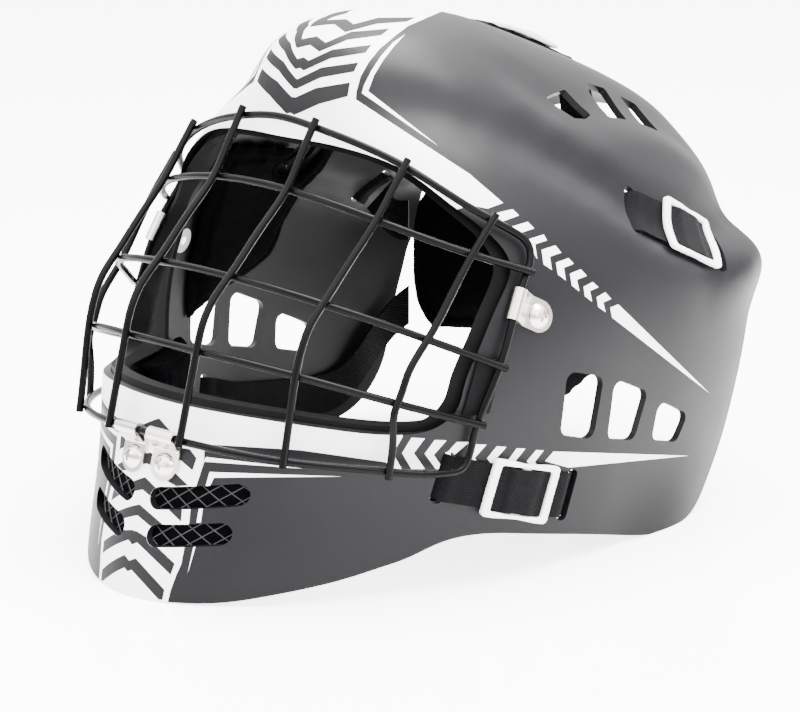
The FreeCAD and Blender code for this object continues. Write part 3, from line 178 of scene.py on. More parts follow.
# Dark prints on top of the light ones
DARK_PRINTS = (
    # chevrons of the forehead, apex on the mid-line
    ((259, 76.7), (294.9, 97.5), (315.7, 87.9), (349.9, 82.3), (347.6, 96.2), (318.9, 103.9), (294.1, 115),
     (255, 89.5)),
    ((266, 58), (297.5, 79), (321, 67.5), (358.5, 62.2), (354, 71.5), (320.5, 77.5), (296, 89), (262, 67)),
    ((281, 41), (308.5, 60.5), (332, 49.5), (371.5, 44.5), (365.5, 52.5), (330.5, 58.2), (303.5, 70.5), (275, 50)),
    ((303, 26), (325.5, 42.5), (351, 31.6), (389.5, 28.4), (381.5, 35), (347.5, 39.6), (319, 51.5), (295, 33.5)),
    ((338, 13), (353.5, 24), (378, 17.5), (415.5, 17.2), (406.5, 21.5), (376.5, 23.6), (345, 32), (329, 20)),
    # chevrons of the chin panel
    ((143.1, 424.5), (159.5, 418.6), (171.9, 432.7), (182.1, 447.8), (189.7, 449.2), (196.5, 458.1), (192.4, 470.4),
     (178, 458.1), (158, 438), (149, 436.5), (140, 441)),
    ((138, 459), (150, 452), (174.6, 472.5), (188.3, 485.5), (176, 486.2), (167.7, 481.4), (149, 464), (137, 470)),
    ((130.7, 480.7), (142.4, 474.2), (156.1, 488.2), (182.1, 510.2), (180.8, 521.8), (167.7, 508.8), (147.2, 493.7),
     (139.6, 487.1), (132.8, 491), (125, 496)),
    ((121.1, 511.5), (137.6, 502.6), (163.6, 525.3), (176.5, 537), (174.5, 546), (149.2, 525.3), (136.9, 515),
     (126.6, 520.4), (115, 526)),
    ((112.9, 544.4), (135.5, 530.5), (147.2, 537.6), (174.6, 563.6), (170.5, 574.9), (136.9, 542.4), (106, 555.4)),
    ((100.6, 570.5), (135.5, 558.2), (164.3, 589.7), (162.3, 600), (158.1, 599.3), (131.4, 569.8), (99.9, 581.5)),
)


class MaskSettings(bpy.types.PropertyGroup):
    """Sizes and colours a user would change."""

    shell_colour: bpy.props.FloatVectorProperty(
        name="Shell paint", description="Colour of the painted shell", subtype="COLOR", size=4, min=0, max=1,
        default=(0.0036, 0.0035, 0.0043, 1))
    light_colour: bpy.props.FloatVectorProperty(
        name="Light print", description="Colour of the light prints", subtype="COLOR", size=4, min=0, max=1,
        default=(0.90, 0.90, 0.93, 1))
    dark_colour: bpy.props.FloatVectorProperty(
        name="Dark print", description="Colour of the dark prints", subtype="COLOR", size=4, min=0, max=1,
        default=(0.0036, 0.0035, 0.0043, 1))
    cage_colour: bpy.props.FloatVectorProperty(
        name="Cage", description="Colour of the powder-coated wires", subtype="COLOR", size=4, min=0, max=1,
        default=(0.0010, 0.0010, 0.0012, 1))
    metal_colour: bpy.props.FloatVectorProperty(
        name="Metal", description="Colour of the nickel-plated clips and screws", subtype="COLOR", size=4, min=0,
        max=1, default=(0.66, 0.61, 0.565, 1))
    padding_colour: bpy.props.FloatVectorProperty(
        name="Padding", description="Colour of the lining fabric", subtype="COLOR", size=4, min=0, max=1,
        default=(0.0011, 0.0011, 0.0016, 1))
    rubber_colour: bpy.props.FloatVectorProperty(
        name="Rubber", description="Colour of the rim and the tags", subtype="COLOR", size=4, min=0, max=1,
        default=(0.0022, 0.0021, 0.0024, 1))
    webbing_colour: bpy.props.FloatVectorProperty(
        name="Webbing", description="Colour of the straps", subtype="COLOR", size=4, min=0, max=1,
        default=(0.0016, 0.0016, 0.0020, 1))
    buckle_colour: bpy.props.FloatVectorProperty(
        name="Buckles", description="Colour of the buckles", subtype="COLOR", size=4, min=0, max=1,
        default=(0.93, 0.93, 0.94, 1))
    screen_colour: bpy.props.FloatVectorProperty(
        name="Screen wires", description="Colour of the diamond screen in the chin slots", subtype="COLOR", size=4,
        min=0, max=1, default=(0.030, 0.030, 0.034, 1))
    film: bpy.props.FloatProperty(
        name="Print thickness", description="Thickness of the printed film", unit="LENGTH", default=0.00006, min=0)
    rib: bpy.props.FloatProperty(
        name="Webbing rib", description="Distance between two ribs of the webbing", unit="LENGTH", default=0.0012,
        min=0.0005)
    cell: bpy.props.FloatProperty(
        name="Screen cell", description="Side of one diamond of the chin screen", unit="LENGTH", default=0.0052,
        min=0.002)
    wire: bpy.props.FloatProperty(
        name="Screen wire", description="Width of the chin screen's wires", unit="LENGTH", default=0.00055,
        min=0.0002)
    voxel: bpy.props.FloatProperty(
        name="Pad detail", description="Mesh size of the cushions before they are blown up", unit="LENGTH",
        default=0.0026, min=0.001)
    swell: bpy.props.FloatProperty(
        name="Pad swell", description="Furthest that a cushion's skin may move", unit="LENGTH", default=0.0016,
        min=0)
    seam: bpy.props.FloatProperty(
        name="Seam depth", description="Depth of the pressed seam of a cushion", unit="LENGTH", default=0.0011,
        min=0)


def settings():
    return bpy.context.scene.mask_settings


# ---------------------------------------------------------------- materials

def socket(group, name, way, kind="NodeSocketFloat", value=None):
    made = group.interface.new_socket(name=name, in_out=way, socket_type=kind)
    if value is not None:
        made.default_value = value


def new_group(name, sockets):
    """Empty node group with its inputs and outputs; returns it with its ends."""
    group = bpy.data.node_groups.new(name, "ShaderNodeTree")
    for row in sockets:
        socket(group, *row)
    return group, group.nodes.new("NodeGroupInput"), group.nodes.new("NodeGroupOutput")


def add(tree, kind, inputs=None, **values):
    """New node with plain input values and links from other sockets."""
    node = tree.nodes.new(kind)
    for key, value in values.items():
        setattr(node, key, value)
    for key, value in (inputs or {}).items():
        if isinstance(value, bpy.types.NodeSocket):
            tree.links.new(value, node.inputs[key])
        else:
            node.inputs[key].default_value = value
    return node


def sums(tree, kind, *values):
    node = tree.nodes.new("ShaderNodeMath")
    node.operation = kind
    for k, value in enumerate(values):
        if isinstance(value, bpy.types.NodeSocket):
            tree.links.new(value, node.inputs[k])
        else:
            node.inputs[k].default_value = value
    return node.outputs[0]


def grain_group():
    """Fine paint or moulding grain and a soft cloudy mask."""
    name = "Moulded grain"
    if name in bpy.data.node_groups:
        return bpy.data.node_groups[name]
    group, start, end = new_group(name, (
        ("Scale", "INPUT", "NodeSocketFloat", 1500.0), ("Cloud scale", "INPUT", "NodeSocketFloat", 18.0),
        ("Height", "OUTPUT"), ("Cloud", "OUTPUT")))
    place = add(group, "ShaderNodeTexCoord").outputs["Object"]
    fine = add(group, "ShaderNodeTexNoise", {"Vector": place, "Scale": start.outputs["Scale"], "Detail": 2.0,
                                             "Roughness": 0.6})
    cloud = add(group, "ShaderNodeTexNoise", {"Vector": place, "Scale": start.outputs["Cloud scale"], "Detail": 4.0,
                                              "Roughness": 0.55})
    soft = add(group, "ShaderNodeMapRange", {"Value": cloud.outputs["Fac"], "From Min": 0.3, "From Max": 0.7})
    group.links.new(fine.outputs["Fac"], end.inputs["Height"])
    group.links.new(soft.outputs["Result"], end.inputs["Cloud"])
    return group


def knit_group():
    """Close knit of the lining: crossed fine ribs with a little fuzz."""
    name = "Lining knit"
    if name in bpy.data.node_groups:
        return bpy.data.node_groups[name]
    group, start, end = new_group(name, (
        ("Scale", "INPUT", "NodeSocketFloat", 420.0), ("Height", "OUTPUT"), ("Fuzz", "OUTPUT")))
    place = add(group, "ShaderNodeTexCoord").outputs["Object"]
    total = None
    for way in ("X", "Y", "Z"):
        wave = add(group, "ShaderNodeTexWave", {"Vector": place, "Scale": start.outputs["Scale"], "Distortion": 1.2,
                                                "Detail": 1.0, "Detail Scale": 2.0},
                   wave_type="BANDS", bands_direction=way)
        total = wave.outputs["Fac"] if total is None else sums(group, "ADD", total, wave.outputs["Fac"])
    fuzz = add(group, "ShaderNodeTexNoise", {"Vector": place, "Scale": 900.0, "Detail": 3.0})
    high = sums(group, "MULTIPLY_ADD", fuzz.outputs["Fac"], 0.8, total)
    patch = add(group, "ShaderNodeTexNoise", {"Vector": place, "Scale": 35.0, "Detail": 3.0})
    group.links.new(high, end.inputs["Height"])
    group.links.new(patch.outputs["Fac"], end.inputs["Fuzz"])
    return group


def webbing_group():
    """Slanted ribs and cross threads that follow the band's own map, with a mask of painted shade in the rib valleys
    and painted light on the crests.
    """
    name = "Webbing ribs"
    if name in bpy.data.node_groups:
        return bpy.data.node_groups[name]
    group, start, end = new_group(name, (
        ("Rib", "INPUT", "NodeSocketFloat", 1.7), ("Height", "OUTPUT"), ("Rib shade", "OUTPUT")))
    web = add(group, "ShaderNodeUVMap", uv_map="web").outputs["UV"]
    parts = add(group, "ShaderNodeSeparateXYZ", {"Vector": web})
    along, across = parts.outputs["X"], parts.outputs["Y"]
    slant = sums(group, "MULTIPLY_ADD", across, 0.85, along)
    turn = sums(group, "DIVIDE", slant, start.outputs["Rib"])
    rib = sums(group, "SINE", sums(group, "MULTIPLY", turn, 2 * math.pi))
    thread = sums(group, "SINE", sums(group, "MULTIPLY", along, 2 * math.pi / 0.9))
    weft = sums(group, "SINE", sums(group, "MULTIPLY", across, 2 * math.pi / 0.7))
    small = sums(group, "MULTIPLY", thread, weft)
    high = sums(group, "MULTIPLY_ADD", small, 0.35, rib)
    # Painted shade: this mask is dark in the rib valleys and light on the rib crests, following the rib wave.
    low = add(group, "ShaderNodeMapRange", {"Value": rib, "From Min": -1.0, "From Max": 0.6})
    group.links.new(high, end.inputs["Height"])
    group.links.new(low.outputs["Result"], end.inputs["Rib shade"])
    return group


def finish_of(name, colour, roughness, metallic=0.0, **plain):
    """Material with a Principled shader; the caller adds its texture."""
    material = bpy.data.materials.new(name)
    material.use_nodes = True
    tree = material.node_tree
    shader = tree.nodes["Principled BSDF"]
    shader.inputs["Base Color"].default_value = tuple(colour)
    shader.inputs["Roughness"].default_value = roughness
    shader.inputs["Metallic"].default_value = metallic
    for key, value in plain.items():
        shader.inputs[key.replace("_", " ").title().replace("Ior", "IOR")].default_value = value
    return material, tree, shader


def bump(tree, shader, height, distance, strength=1.0):
    node = add(tree, "ShaderNodeBump", {"Height": height, "Distance": distance, "Strength": strength})
    tree.links.new(node.outputs["Normal"], shader.inputs["Normal"])


def group_node(tree, group, **values):
    node = tree.nodes.new("ShaderNodeGroup")
    node.node_tree = group
    for key, value in values.items():
        node.inputs[key.replace("_", " ").capitalize()].default_value = value
    return node


def tinted(tree, shader, mask, colour, other):
    """Base colour that drifts between two tones."""
    mix = add(tree, "ShaderNodeMix", data_type="RGBA")
    tree.links.new(mask, mix.inputs["Factor"])
    mix.inputs["A"].default_value = tuple(colour)
    mix.inputs["B"].default_value = tuple(other)
    tree.links.new(mix.outputs["Result"], shader.inputs["Base Color"])


def ranged(tree, shader, mask, low, high):
    """Roughness that drifts between two values."""
    node = add(tree, "ShaderNodeMapRange", {"Value": mask, "To Min": low, "To Max": high})
    tree.links.new(node.outputs["Result"], shader.inputs["Roughness"])


def tone(colour, factor):
    return (colour[0] * factor, colour[1] * factor, colour[2] * factor, 1.0)


def grained(name, colour, rough, grain, distance, tint=1.25, metallic=0.0, **plain):
    """Painted, printed or moulded surface with grain and slight clouding."""
    if name in bpy.data.materials:
        return bpy.data.materials[name]
    low, high = rough
    material, tree, shader = finish_of(name, colour, low, metallic, **plain)
    node = group_node(tree, grain_group(), scale=grain)
    tinted(tree, shader, node.outputs["Cloud"], colour, tone(colour, tint))
    ranged(tree, shader, node.outputs["Cloud"], low, high)
    bump(tree, shader, node.outputs["Height"], distance)
    return material


def shell_paint():
    return grained("Shell paint", settings().shell_colour, (0.38, 0.44), 1400.0, 0.00002, specular_ior_level=0.16)


def light_print():
    return grained("Light print", settings().light_colour, (0.36, 0.42), 1400.0, 0.00002, tint=1.03)


def dark_print():
    return grained("Dark print", settings().dark_colour, (0.40, 0.48), 1400.0, 0.00002, specular_ior_level=0.16)


def cage_coat():
    return grained("Powder coat", settings().cage_colour, (0.20, 0.27), 2600.0, 0.000015, specular_ior_level=0.07)


def nickel():
    return grained("Nickel plate", settings().metal_colour, (0.20, 0.30), 900.0, 0.000008, tint=0.93, metallic=1.0)


def bright_nickel():
    return grained("Polished nickel", tone(settings().metal_colour, 1.12), (0.13, 0.20), 500.0, 0.000005, tint=0.95,
                   metallic=1.0)


def zinc():
    return grained("Zinc plate", tone(settings().metal_colour, 0.72), (0.36, 0.48), 800.0, 0.00002, tint=0.85,
                   metallic=1.0)


def rubber():
    return grained("Soft rubber", settings().rubber_colour, (0.52, 0.64), 900.0, 0.00005, specular_ior_level=0.06)


def plate_plastic():
    return grained("Back plate plastic", tone(settings().rubber_colour, 1.3), (0.42, 0.52), 1100.0, 0.00005,
                   specular_ior_level=0.15)


def buckle_plastic():
    return grained("Buckle plastic", settings().buckle_colour, (0.20, 0.27), 300.0, 0.00001, tint=1.02,
                   coat_weight=0.25)


def screen_wire():
    return grained("Screen wire", settings().screen_colour, (0.40, 0.52), 1500.0, 0.00002, specular_ior_level=0.15)


# Painted shade: a near-black, matte sheet behind the screen wires that stands in for the dark seen through the
# screen's holes.
def screen_shade_sheet():
    return grained("Screen backing", tone(settings().rubber_colour, 0.35), (0.85, 0.95), 700.0, 0.0001,
                   specular_ior_level=0.02)


def lining():
    name = "Padding knit"
    if name in bpy.data.materials:
        return bpy.data.materials[name]
    colour = settings().padding_colour
    material, tree, shader = finish_of(name, colour, 0.86, specular_ior_level=0.03)
    node = group_node(tree, knit_group(), scale=420.0)
    tinted(tree, shader, node.outputs["Fuzz"], tone(colour, 0.75), tone(colour, 1.6))
    bump(tree, shader, node.outputs["Height"], 0.00012)
    return material


def webbing():
    name = "Ribbed webbing"
    if name in bpy.data.materials:
        return bpy.data.materials[name]
    colour = settings().webbing_colour
    material, tree, shader = finish_of(name, colour, 0.62, specular_ior_level=0.06)
    node = group_node(tree, webbing_group(), rib=settings().rib / MM)
    # Painted shade and highlight: the webbing's colour is darkened in the rib valleys and lightened on the rib
    # crests.
    tinted(tree, shader, node.outputs["Rib shade"], tone(colour, 0.35), tone(colour, 2.1))
    bump(tree, shader, node.outputs["Height"], 0.00014)
    return material


# ------------------------------------------------------------------- meshes

def copy_of(*nodes):
    """Merged copy of CAD meshes, as one bmesh."""
    bm = bmesh.new()
    for node in nodes:
        bm.from_mesh(frame["nodes"][node].data)
    bmesh.ops.remove_doubles(bm, verts=bm.verts, dist=WELD)
    bmesh.ops.dissolve_degenerate(bm, edges=bm.edges, dist=SLIVER)
    return bm


def soften(bm, degrees):
    """Smooth shading with the edges over an angle left sharp."""
    limit = math.radians(degrees)
    for face in bm.faces:
        face.smooth = True
    for edge in bm.edges:
        edge.smooth = len(edge.link_faces) == 2 and edge.calc_face_angle(0.0) < limit


def piece(bm, name, material, body=None, nodes=()):
    """Puts a bmesh into the scene as a named piece."""
    mesh = bpy.data.meshes.new(name)
    bm.to_mesh(mesh)
    bm.free()
    obj = bpy.data.objects.new(name, mesh)
    bpy.context.scene.collection.objects.link(obj)
    mesh.materials.append(material)
    if body:
        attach(obj, body)
    if nodes:
        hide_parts(*nodes)
    return obj


def dressed(node, material, degrees=32):
    """Smooth copy of one CAD node in its place."""
    bm = copy_of(node)
    soften(bm, degrees)
    return piece(bm, node + "_finish", material, BODY_OF[node], (node,))


def settle(obj):
    """Applies the object's modifiers to its mesh."""
    graph = bpy.context.evaluated_depsgraph_get()
    mesh = bpy.data.meshes.new_from_object(obj.evaluated_get(graph))
    obj.modifiers.clear()
    old = obj.data
    obj.data = mesh
    bpy.data.meshes.remove(old)


def remeshed(obj, voxel):
    mod = obj.modifiers.new("Remesh", "REMESH")
    mod.mode = "VOXEL"
    mod.voxel_size = voxel
    mod.use_smooth_shade = True
    settle(obj)


def edit(obj):
    bm = bmesh.new()
    bm.from_mesh(obj.data)
    return bm


def moulded(node, material, voxel, rounds=3):
    """Copy of a small moulding with softly rounded edges."""
    obj = piece(copy_of(node), node + "_moulding", material, BODY_OF[node], (node,))
    remeshed(obj, voxel)
    bm = edit(obj)
    for _ in range(rounds):
        bmesh.ops.smooth_vert(bm, verts=bm.verts, factor=0.5, use_axis_x=True, use_axis_y=True, use_axis_z=True)
    soften(bm, 60)
    bm.to_mesh(obj.data)
    bm.free()
    return obj


# ------------------------------------------------------------------- prints

def sight(x, y):
    """Direction from the eye through a pixel of the photograph."""
    return RIGHT * ((x - MIDDLE[0]) / FOCUS) - UP * ((y - MIDDLE[1]) / FOCUS) - BACK


def pixels(points):
    """Pixel places of points given as rows of an array."""
    q = points - np.array(TARGET)
    depth = DISTANCE - q @ np.array(BACK)
    x = MIDDLE[0] + FOCUS * (q @ np.array(RIGHT)) / depth
    y = MIDDLE[1] - FOCUS * (q @ np.array(UP)) / depth
    return np.stack([x, y], 1)


def outer_skin(lift):
    """Near half of the shell's outer skin that faces the camera, raised a little."""
    bm = copy_of("shell")
    bm.normal_update()
    keep = set()
    for face in bm.faces:
        centre = face.calc_center_median()
        out = (centre - SKULL).normalized()
        if face.normal.dot(out) > FACING_OUT and face.normal.dot(EYE - centre) > 0 and centre.x > -MID_OVERLAP:
            keep.add(face)
    for vert in bm.verts:
        way = (vert.co - SKULL).normalized()
        faces = [face for face in vert.link_faces if face.normal.dot(way) > FACING_OUT]
        if faces:
            total = Vector((0, 0, 0))
            for face in faces:
                total += face.normal * face.calc_area()
            vert.co += total.normalized() * lift
    bmesh.ops.delete(bm, geom=[face for face in bm.faces if face not in keep], context="FACES")
    bm.faces.ensure_lookup_table()
    return bm


def stencil(skin, boxes, outline, target):
    """Adds to target what one outline covers of the skin."""
    points = [Vector((x, y, 0)) for x, y in outline]
    for corners in tessellate_polygon([points]):
        tri = [outline[k] for k in corners]
        low = np.min(tri, axis=0) - 1
        high = np.max(tri, axis=0) + 1
        near = np.nonzero(np.all(boxes[:, 0] <= high, 1) & np.all(boxes[:, 1] >= low, 1))[0]
        if not len(near):
            continue
        part = bmesh.new()
        made = {}
        for index in near:
            corner = []
            for vert in skin.faces[index].verts:
                if vert.index not in made:
                    made[vert.index] = part.verts.new(vert.co)
                corner.append(made[vert.index])
            part.faces.new(corner)
        ways = [sight(*p) for p in tri]
        for k in range(3):
            normal = ways[k].cross(ways[(k + 1) % 3]).normalized()
            if normal.dot(ways[(k + 2) % 3]) > 0:
                normal = -normal
            bmesh.ops.bisect_plane(part, geom=part.verts[:] + part.edges[:] + part.faces[:], dist=1e-8, plane_co=EYE,
                                   plane_no=normal, clear_outer=True)
            if not part.faces:
                break
        if part.faces:
            mesh = bpy.data.meshes.new("cut")
            part.to_mesh(mesh)
            target.from_mesh(mesh)
            bpy.data.meshes.remove(mesh)
        part.free()


def printed(outlines, lift, name, material):
    """One film of prints on both sides of the shell."""
    skin = outer_skin(lift)
    skin.verts.index_update()
    boxes = []
    for face in skin.faces:
        px = pixels(np.array([vert.co for vert in face.verts]))
        boxes.append((px.min(0), px.max(0)))
    boxes = np.array(boxes)
    film = bmesh.new()
    for outline in outlines:
        stencil(skin, boxes, outline, film)
    skin.free()
    bmesh.ops.bisect_plane(film, geom=film.verts[:] + film.edges[:] + film.faces[:], dist=1e-7,
                           plane_co=(0, 0, 0), plane_no=(-1, 0, 0), clear_outer=True)
    twin = bmesh.ops.duplicate(film, geom=film.verts[:] + film.edges[:] + film.faces[:])["geom"]
    verts = [item for item in twin if isinstance(item, bmesh.types.BMVert)]
    faces = [item for item in twin if isinstance(item, bmesh.types.BMFace)]
    bmesh.ops.scale(film, vec=(-1, 1, 1), verts=verts)
    bmesh.ops.reverse_faces(film, faces=faces)
    bmesh.ops.remove_doubles(film, verts=film.verts, dist=0.004 * MM)
    bmesh.ops.dissolve_degenerate(film, edges=film.edges, dist=0.002 * MM)
    bmesh.ops.solidify(film, geom=film.faces[:], thickness=settings().film)
    soften(film, 40)
    return piece(film, name, material, "mask")


# ------------------------------------------------------------------ padding

def cushion(node, material):
    """Foam cushion in its cover, blown up inside the CAD solid's space."""
    obj = piece(copy_of(node), node + "_cushion", material, BODY_OF[node], (node,))
    bm = edit(obj)
    bm.normal_update()
    for vert in bm.verts:
        vert.co -= vert.normal * settings().swell * 0.5
    bm.to_mesh(obj.data)
    bm.free()
    remeshed(obj, settings().voxel)
    bm = edit(obj)
    for _ in range(4):
        bmesh.ops.smooth_vert(bm, verts=bm.verts, factor=0.5, use_axis_x=True, use_axis_y=True, use_axis_z=True)
    bm.to_mesh(obj.data)
    bm.free()
    blow_up(obj)
    sub = obj.modifiers.new("Subdivision", "SUBSURF")
    sub.levels = sub.render_levels = 1
    settle(obj)
    press_seam(obj, node)


def blow_up(obj):
    """Cloth pressure for some frames, with the movement capped."""
    scene = bpy.context.scene
    scene.frame_set(1)
    mod = obj.modifiers.new("Cloth", "CLOTH")
    mod.settings.use_pressure = True
    mod.settings.uniform_pressure_force = PRESSURE
    mod.settings.effector_weights.gravity = 0.0
    mod.settings.quality = 4
    mod.point_cache.frame_start = 1
    mod.point_cache.frame_end = FRAMES
    rest = [vert.co.copy() for vert in obj.data.vertices]
    for step in range(1, FRAMES + 1):
        scene.frame_set(step)
    settle(obj)
    cap = settings().swell
    for vert, start in zip(obj.data.vertices, rest):
        move = vert.co - start
        if move.length > cap:
            vert.co = start + move * (cap / move.length)
    scene.frame_set(1)


def press_seam(obj, node):
    """Presses a sewn channel round the cushion's face, off its rim."""
    bm = edit(obj)
    bm.normal_update()
    centre = BACK_FOCUS if node == "back_pad" else SKULL
    facing = [vert.normal.dot((centre - vert.co).normalized()) for vert in bm.verts]
    rim = [vert for vert, value in zip(bm.verts, facing) if abs(value) < 0.35]
    tree = KDTree(max(len(rim), 1))
    for k, vert in enumerate(rim):
        tree.insert(vert.co, k)
    tree.balance()
    depth = settings().seam
    for vert, value in zip(bm.verts, facing):
        if value > 0.5 and rim:
            off = tree.find(vert.co)[2] / MM
            vert.co -= vert.normal * depth * math.exp(-((off - SEAM_OFF) / SEAM_WIDE) ** 2)
    soften(bm, 70)
    bm.to_mesh(obj.data)
    bm.free()


# ------------------------------------------------------------------ webbing

def band_map(bm):
    """Map in millimetres along and across a band, from its own shape."""
    points = np.array([vert.co for vert in bm.verts]) / MM
    middle = points.mean(0)
    axis = np.linalg.svd(points - middle, full_matrices=False)[2][0]
    place = (points - middle) @ axis
    stops = np.linspace(place.min(), place.max(), BAND_STOPS + 1)
    centres, sides = [], []
    last = None
    reach = (stops[1] - stops[0]) * 1.2
    for stop in stops:
        near = points[np.abs(place - stop) < reach]
        if len(near) < 4:
            near = points[np.argsort(np.abs(place - stop))[:12]]
        centre = near.mean(0)
        flat = (near - centre) - np.outer((near - centre) @ axis, axis)
        side = np.linalg.svd(flat, full_matrices=False)[2][0]
        if last is not None and side @ last < 0:
            side = -side
        last = side
        centres.append(centre)
        sides.append(side)
    centres, sides = np.array(centres), np.array(sides)
    lengths = np.concatenate([[0], np.cumsum(np.linalg.norm(np.diff(centres, axis=0), axis=1))])
    along = np.interp(place, stops, lengths)
    centre = np.stack([np.interp(place, stops, centres[:, k]) for k in range(3)], 1)
    side = np.stack([np.interp(place, stops, sides[:, k]) for k in range(3)], 1)
    across = ((points - centre) * side).sum(1)
    layer = bm.loops.layers.uv.new("web")
    for k, vert in enumerate(bm.verts):
        vert.index = k
    for face in bm.faces:
        for loop in face.loops:
            loop[layer].uv = (along[loop.vert.index], across[loop.vert.index])


def band(node, blend=None):
    """Webbing on a strap's solid, smooth-shaded, with its own map along and across it."""
    bm = copy_of(node)
    band_map(bm)
    soften(bm, 50)
    obj = piece(bm, node + "_webbing", webbing(), None if blend else BODY_OF[node], (node,))
    if blend:
        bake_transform(obj)
    return obj


# ---------------------------------------------------------------- operators

class StageOperator(bpy.types.Operator):
    """Camera, floor, light and background"""
    bl_idname = "goalmask.stage"
    bl_label = "Studio"

    def execute(self, context):
        scene = context.scene
        data = bpy.data.cameras.new("Camera")
        data.sensor_width = SENSOR
        data.lens = FOCUS * SENSOR / (2 * MIDDLE[0])
        data.clip_start = 0.01
        data.clip_end = 50
        camera = bpy.data.objects.new("Camera", data)
        camera.matrix_world = Matrix.Translation(EYE) @ Matrix((RIGHT, UP, BACK)).transposed().to_4x4()
        scene.collection.objects.link(camera)
        scene.camera = camera
        bm = bmesh.new()
        bmesh.ops.create_circle(bm, cap_ends=True, segments=64, radius=FLOOR_RADIUS)
        bmesh.ops.translate(bm, vec=(0, 0, -FLOOR_DROP), verts=bm.verts)
        mesh = bpy.data.meshes.new("Floor")
        bm.to_mesh(mesh)
        bm.free()
        floor = bpy.data.objects.new("Floor", mesh)
        scene.collection.objects.link(floor)
        material, tree, shader = finish_of("Floor", (0.98, 0.98, 0.98, 1), 0.16)
        seen = add(tree, "ShaderNodeLightPath").outputs["Is Camera Ray"]
        shader.inputs["Emission Color"].default_value = (1, 1, 1, 1)
        tree.links.new(sums(tree, "MULTIPLY", seen, FLOOR_GLOW), shader.inputs["Emission Strength"])
        mesh.materials.append(material)
        world = bpy.data.worlds.new("Studio") if scene.world is None else scene.world
        scene.world = world
        world.use_nodes = True
        self.sky(world.node_tree)
        for name, place, aim, size, power in LAMPS:
            lamp = bpy.data.lights.new(name, "AREA")
            lamp.shape = "RECTANGLE"
            lamp.size, lamp.size_y = size
            lamp.energy = power
            holder = bpy.data.objects.new(name, lamp)
            way = (Vector(aim) - Vector(place)).normalized()
            holder.location = place
            holder.rotation_euler = way.to_track_quat("-Z", "Y").to_euler()
            scene.collection.objects.link(holder)
        return {"FINISHED"}

    def sky(self, tree):
        """White surroundings, brighter overhead than at the walls."""
        way = add(tree, "ShaderNodeTexCoord").outputs["Generated"]
        height = add(tree, "ShaderNodeSeparateXYZ", {"Vector": way}).outputs["Z"]
        level = add(tree, "ShaderNodeMapRange", {"Value": height, "From Min": 0.15, "From Max": 0.95,
                                                 "To Min": WALL_STRENGTH, "To Max": CEILING_STRENGTH},
                    interpolation_type="SMOOTHSTEP")
        back = tree.nodes["Background"]
        back.inputs["Color"].default_value = (1, 1, 1, 1)
        tree.links.new(level.outputs["Result"], back.inputs["Strength"])


class ShellOperator(bpy.types.Operator):
    """Painted shell"""
    bl_idname = "goalmask.shell"
    bl_label = "Shell"

    def execute(self, context):
        dressed("shell", shell_paint(), 34)
        return {"FINISHED"}


class PrintsOperator(bpy.types.Operator):
    """Light and dark prints on the shell"""
    bl_idname = "goalmask.prints"
    bl_label = "Prints"

    def execute(self, context):
        printed(LIGHT_PRINTS, LIGHT_LIFT, "prints_light", light_print())
        printed(DARK_PRINTS, DARK_LIFT, "prints_dark", dark_print())
        return {"FINISHED"}


class CageOperator(bpy.types.Operator):
    """Powder-coated wire cage"""
    bl_idname = "goalmask.cage"
    bl_label = "Cage"

    def execute(self, context):
        for node in sorted(BODY_OF):
            if node.startswith("cage_"):
                dressed(node, cage_coat(), 50)
        return {"FINISHED"}


class FastenersOperator(bpy.types.Operator):
    """Clips, screws and nuts"""
    bl_idname = "goalmask.fasteners"
    bl_label = "Clips and screws"

    def execute(self, context):
        for side in ("left", "right"):
            for place in ("chin", "side"):
                dressed("%s_clip_%s" % (place, side), nickel(), 30)
                dressed("%s_screw_%s" % (place, side), bright_nickel(), 30)
                dressed("%s_nut_%s" % (place, side), zinc(), 30)
        return {"FINISHED"}


class TrimOperator(bpy.types.Operator):
    """Rubber rim of the face opening and the blank tags"""
    bl_idname = "goalmask.trim"
    bl_label = "Rim and tags"

    def execute(self, context):
        dressed("face_trim", rubber(), 40)
        for side in ("left", "right"):
            moulded("tag_" + side, rubber(), TAG_VOXEL, 2)
        return {"FINISHED"}


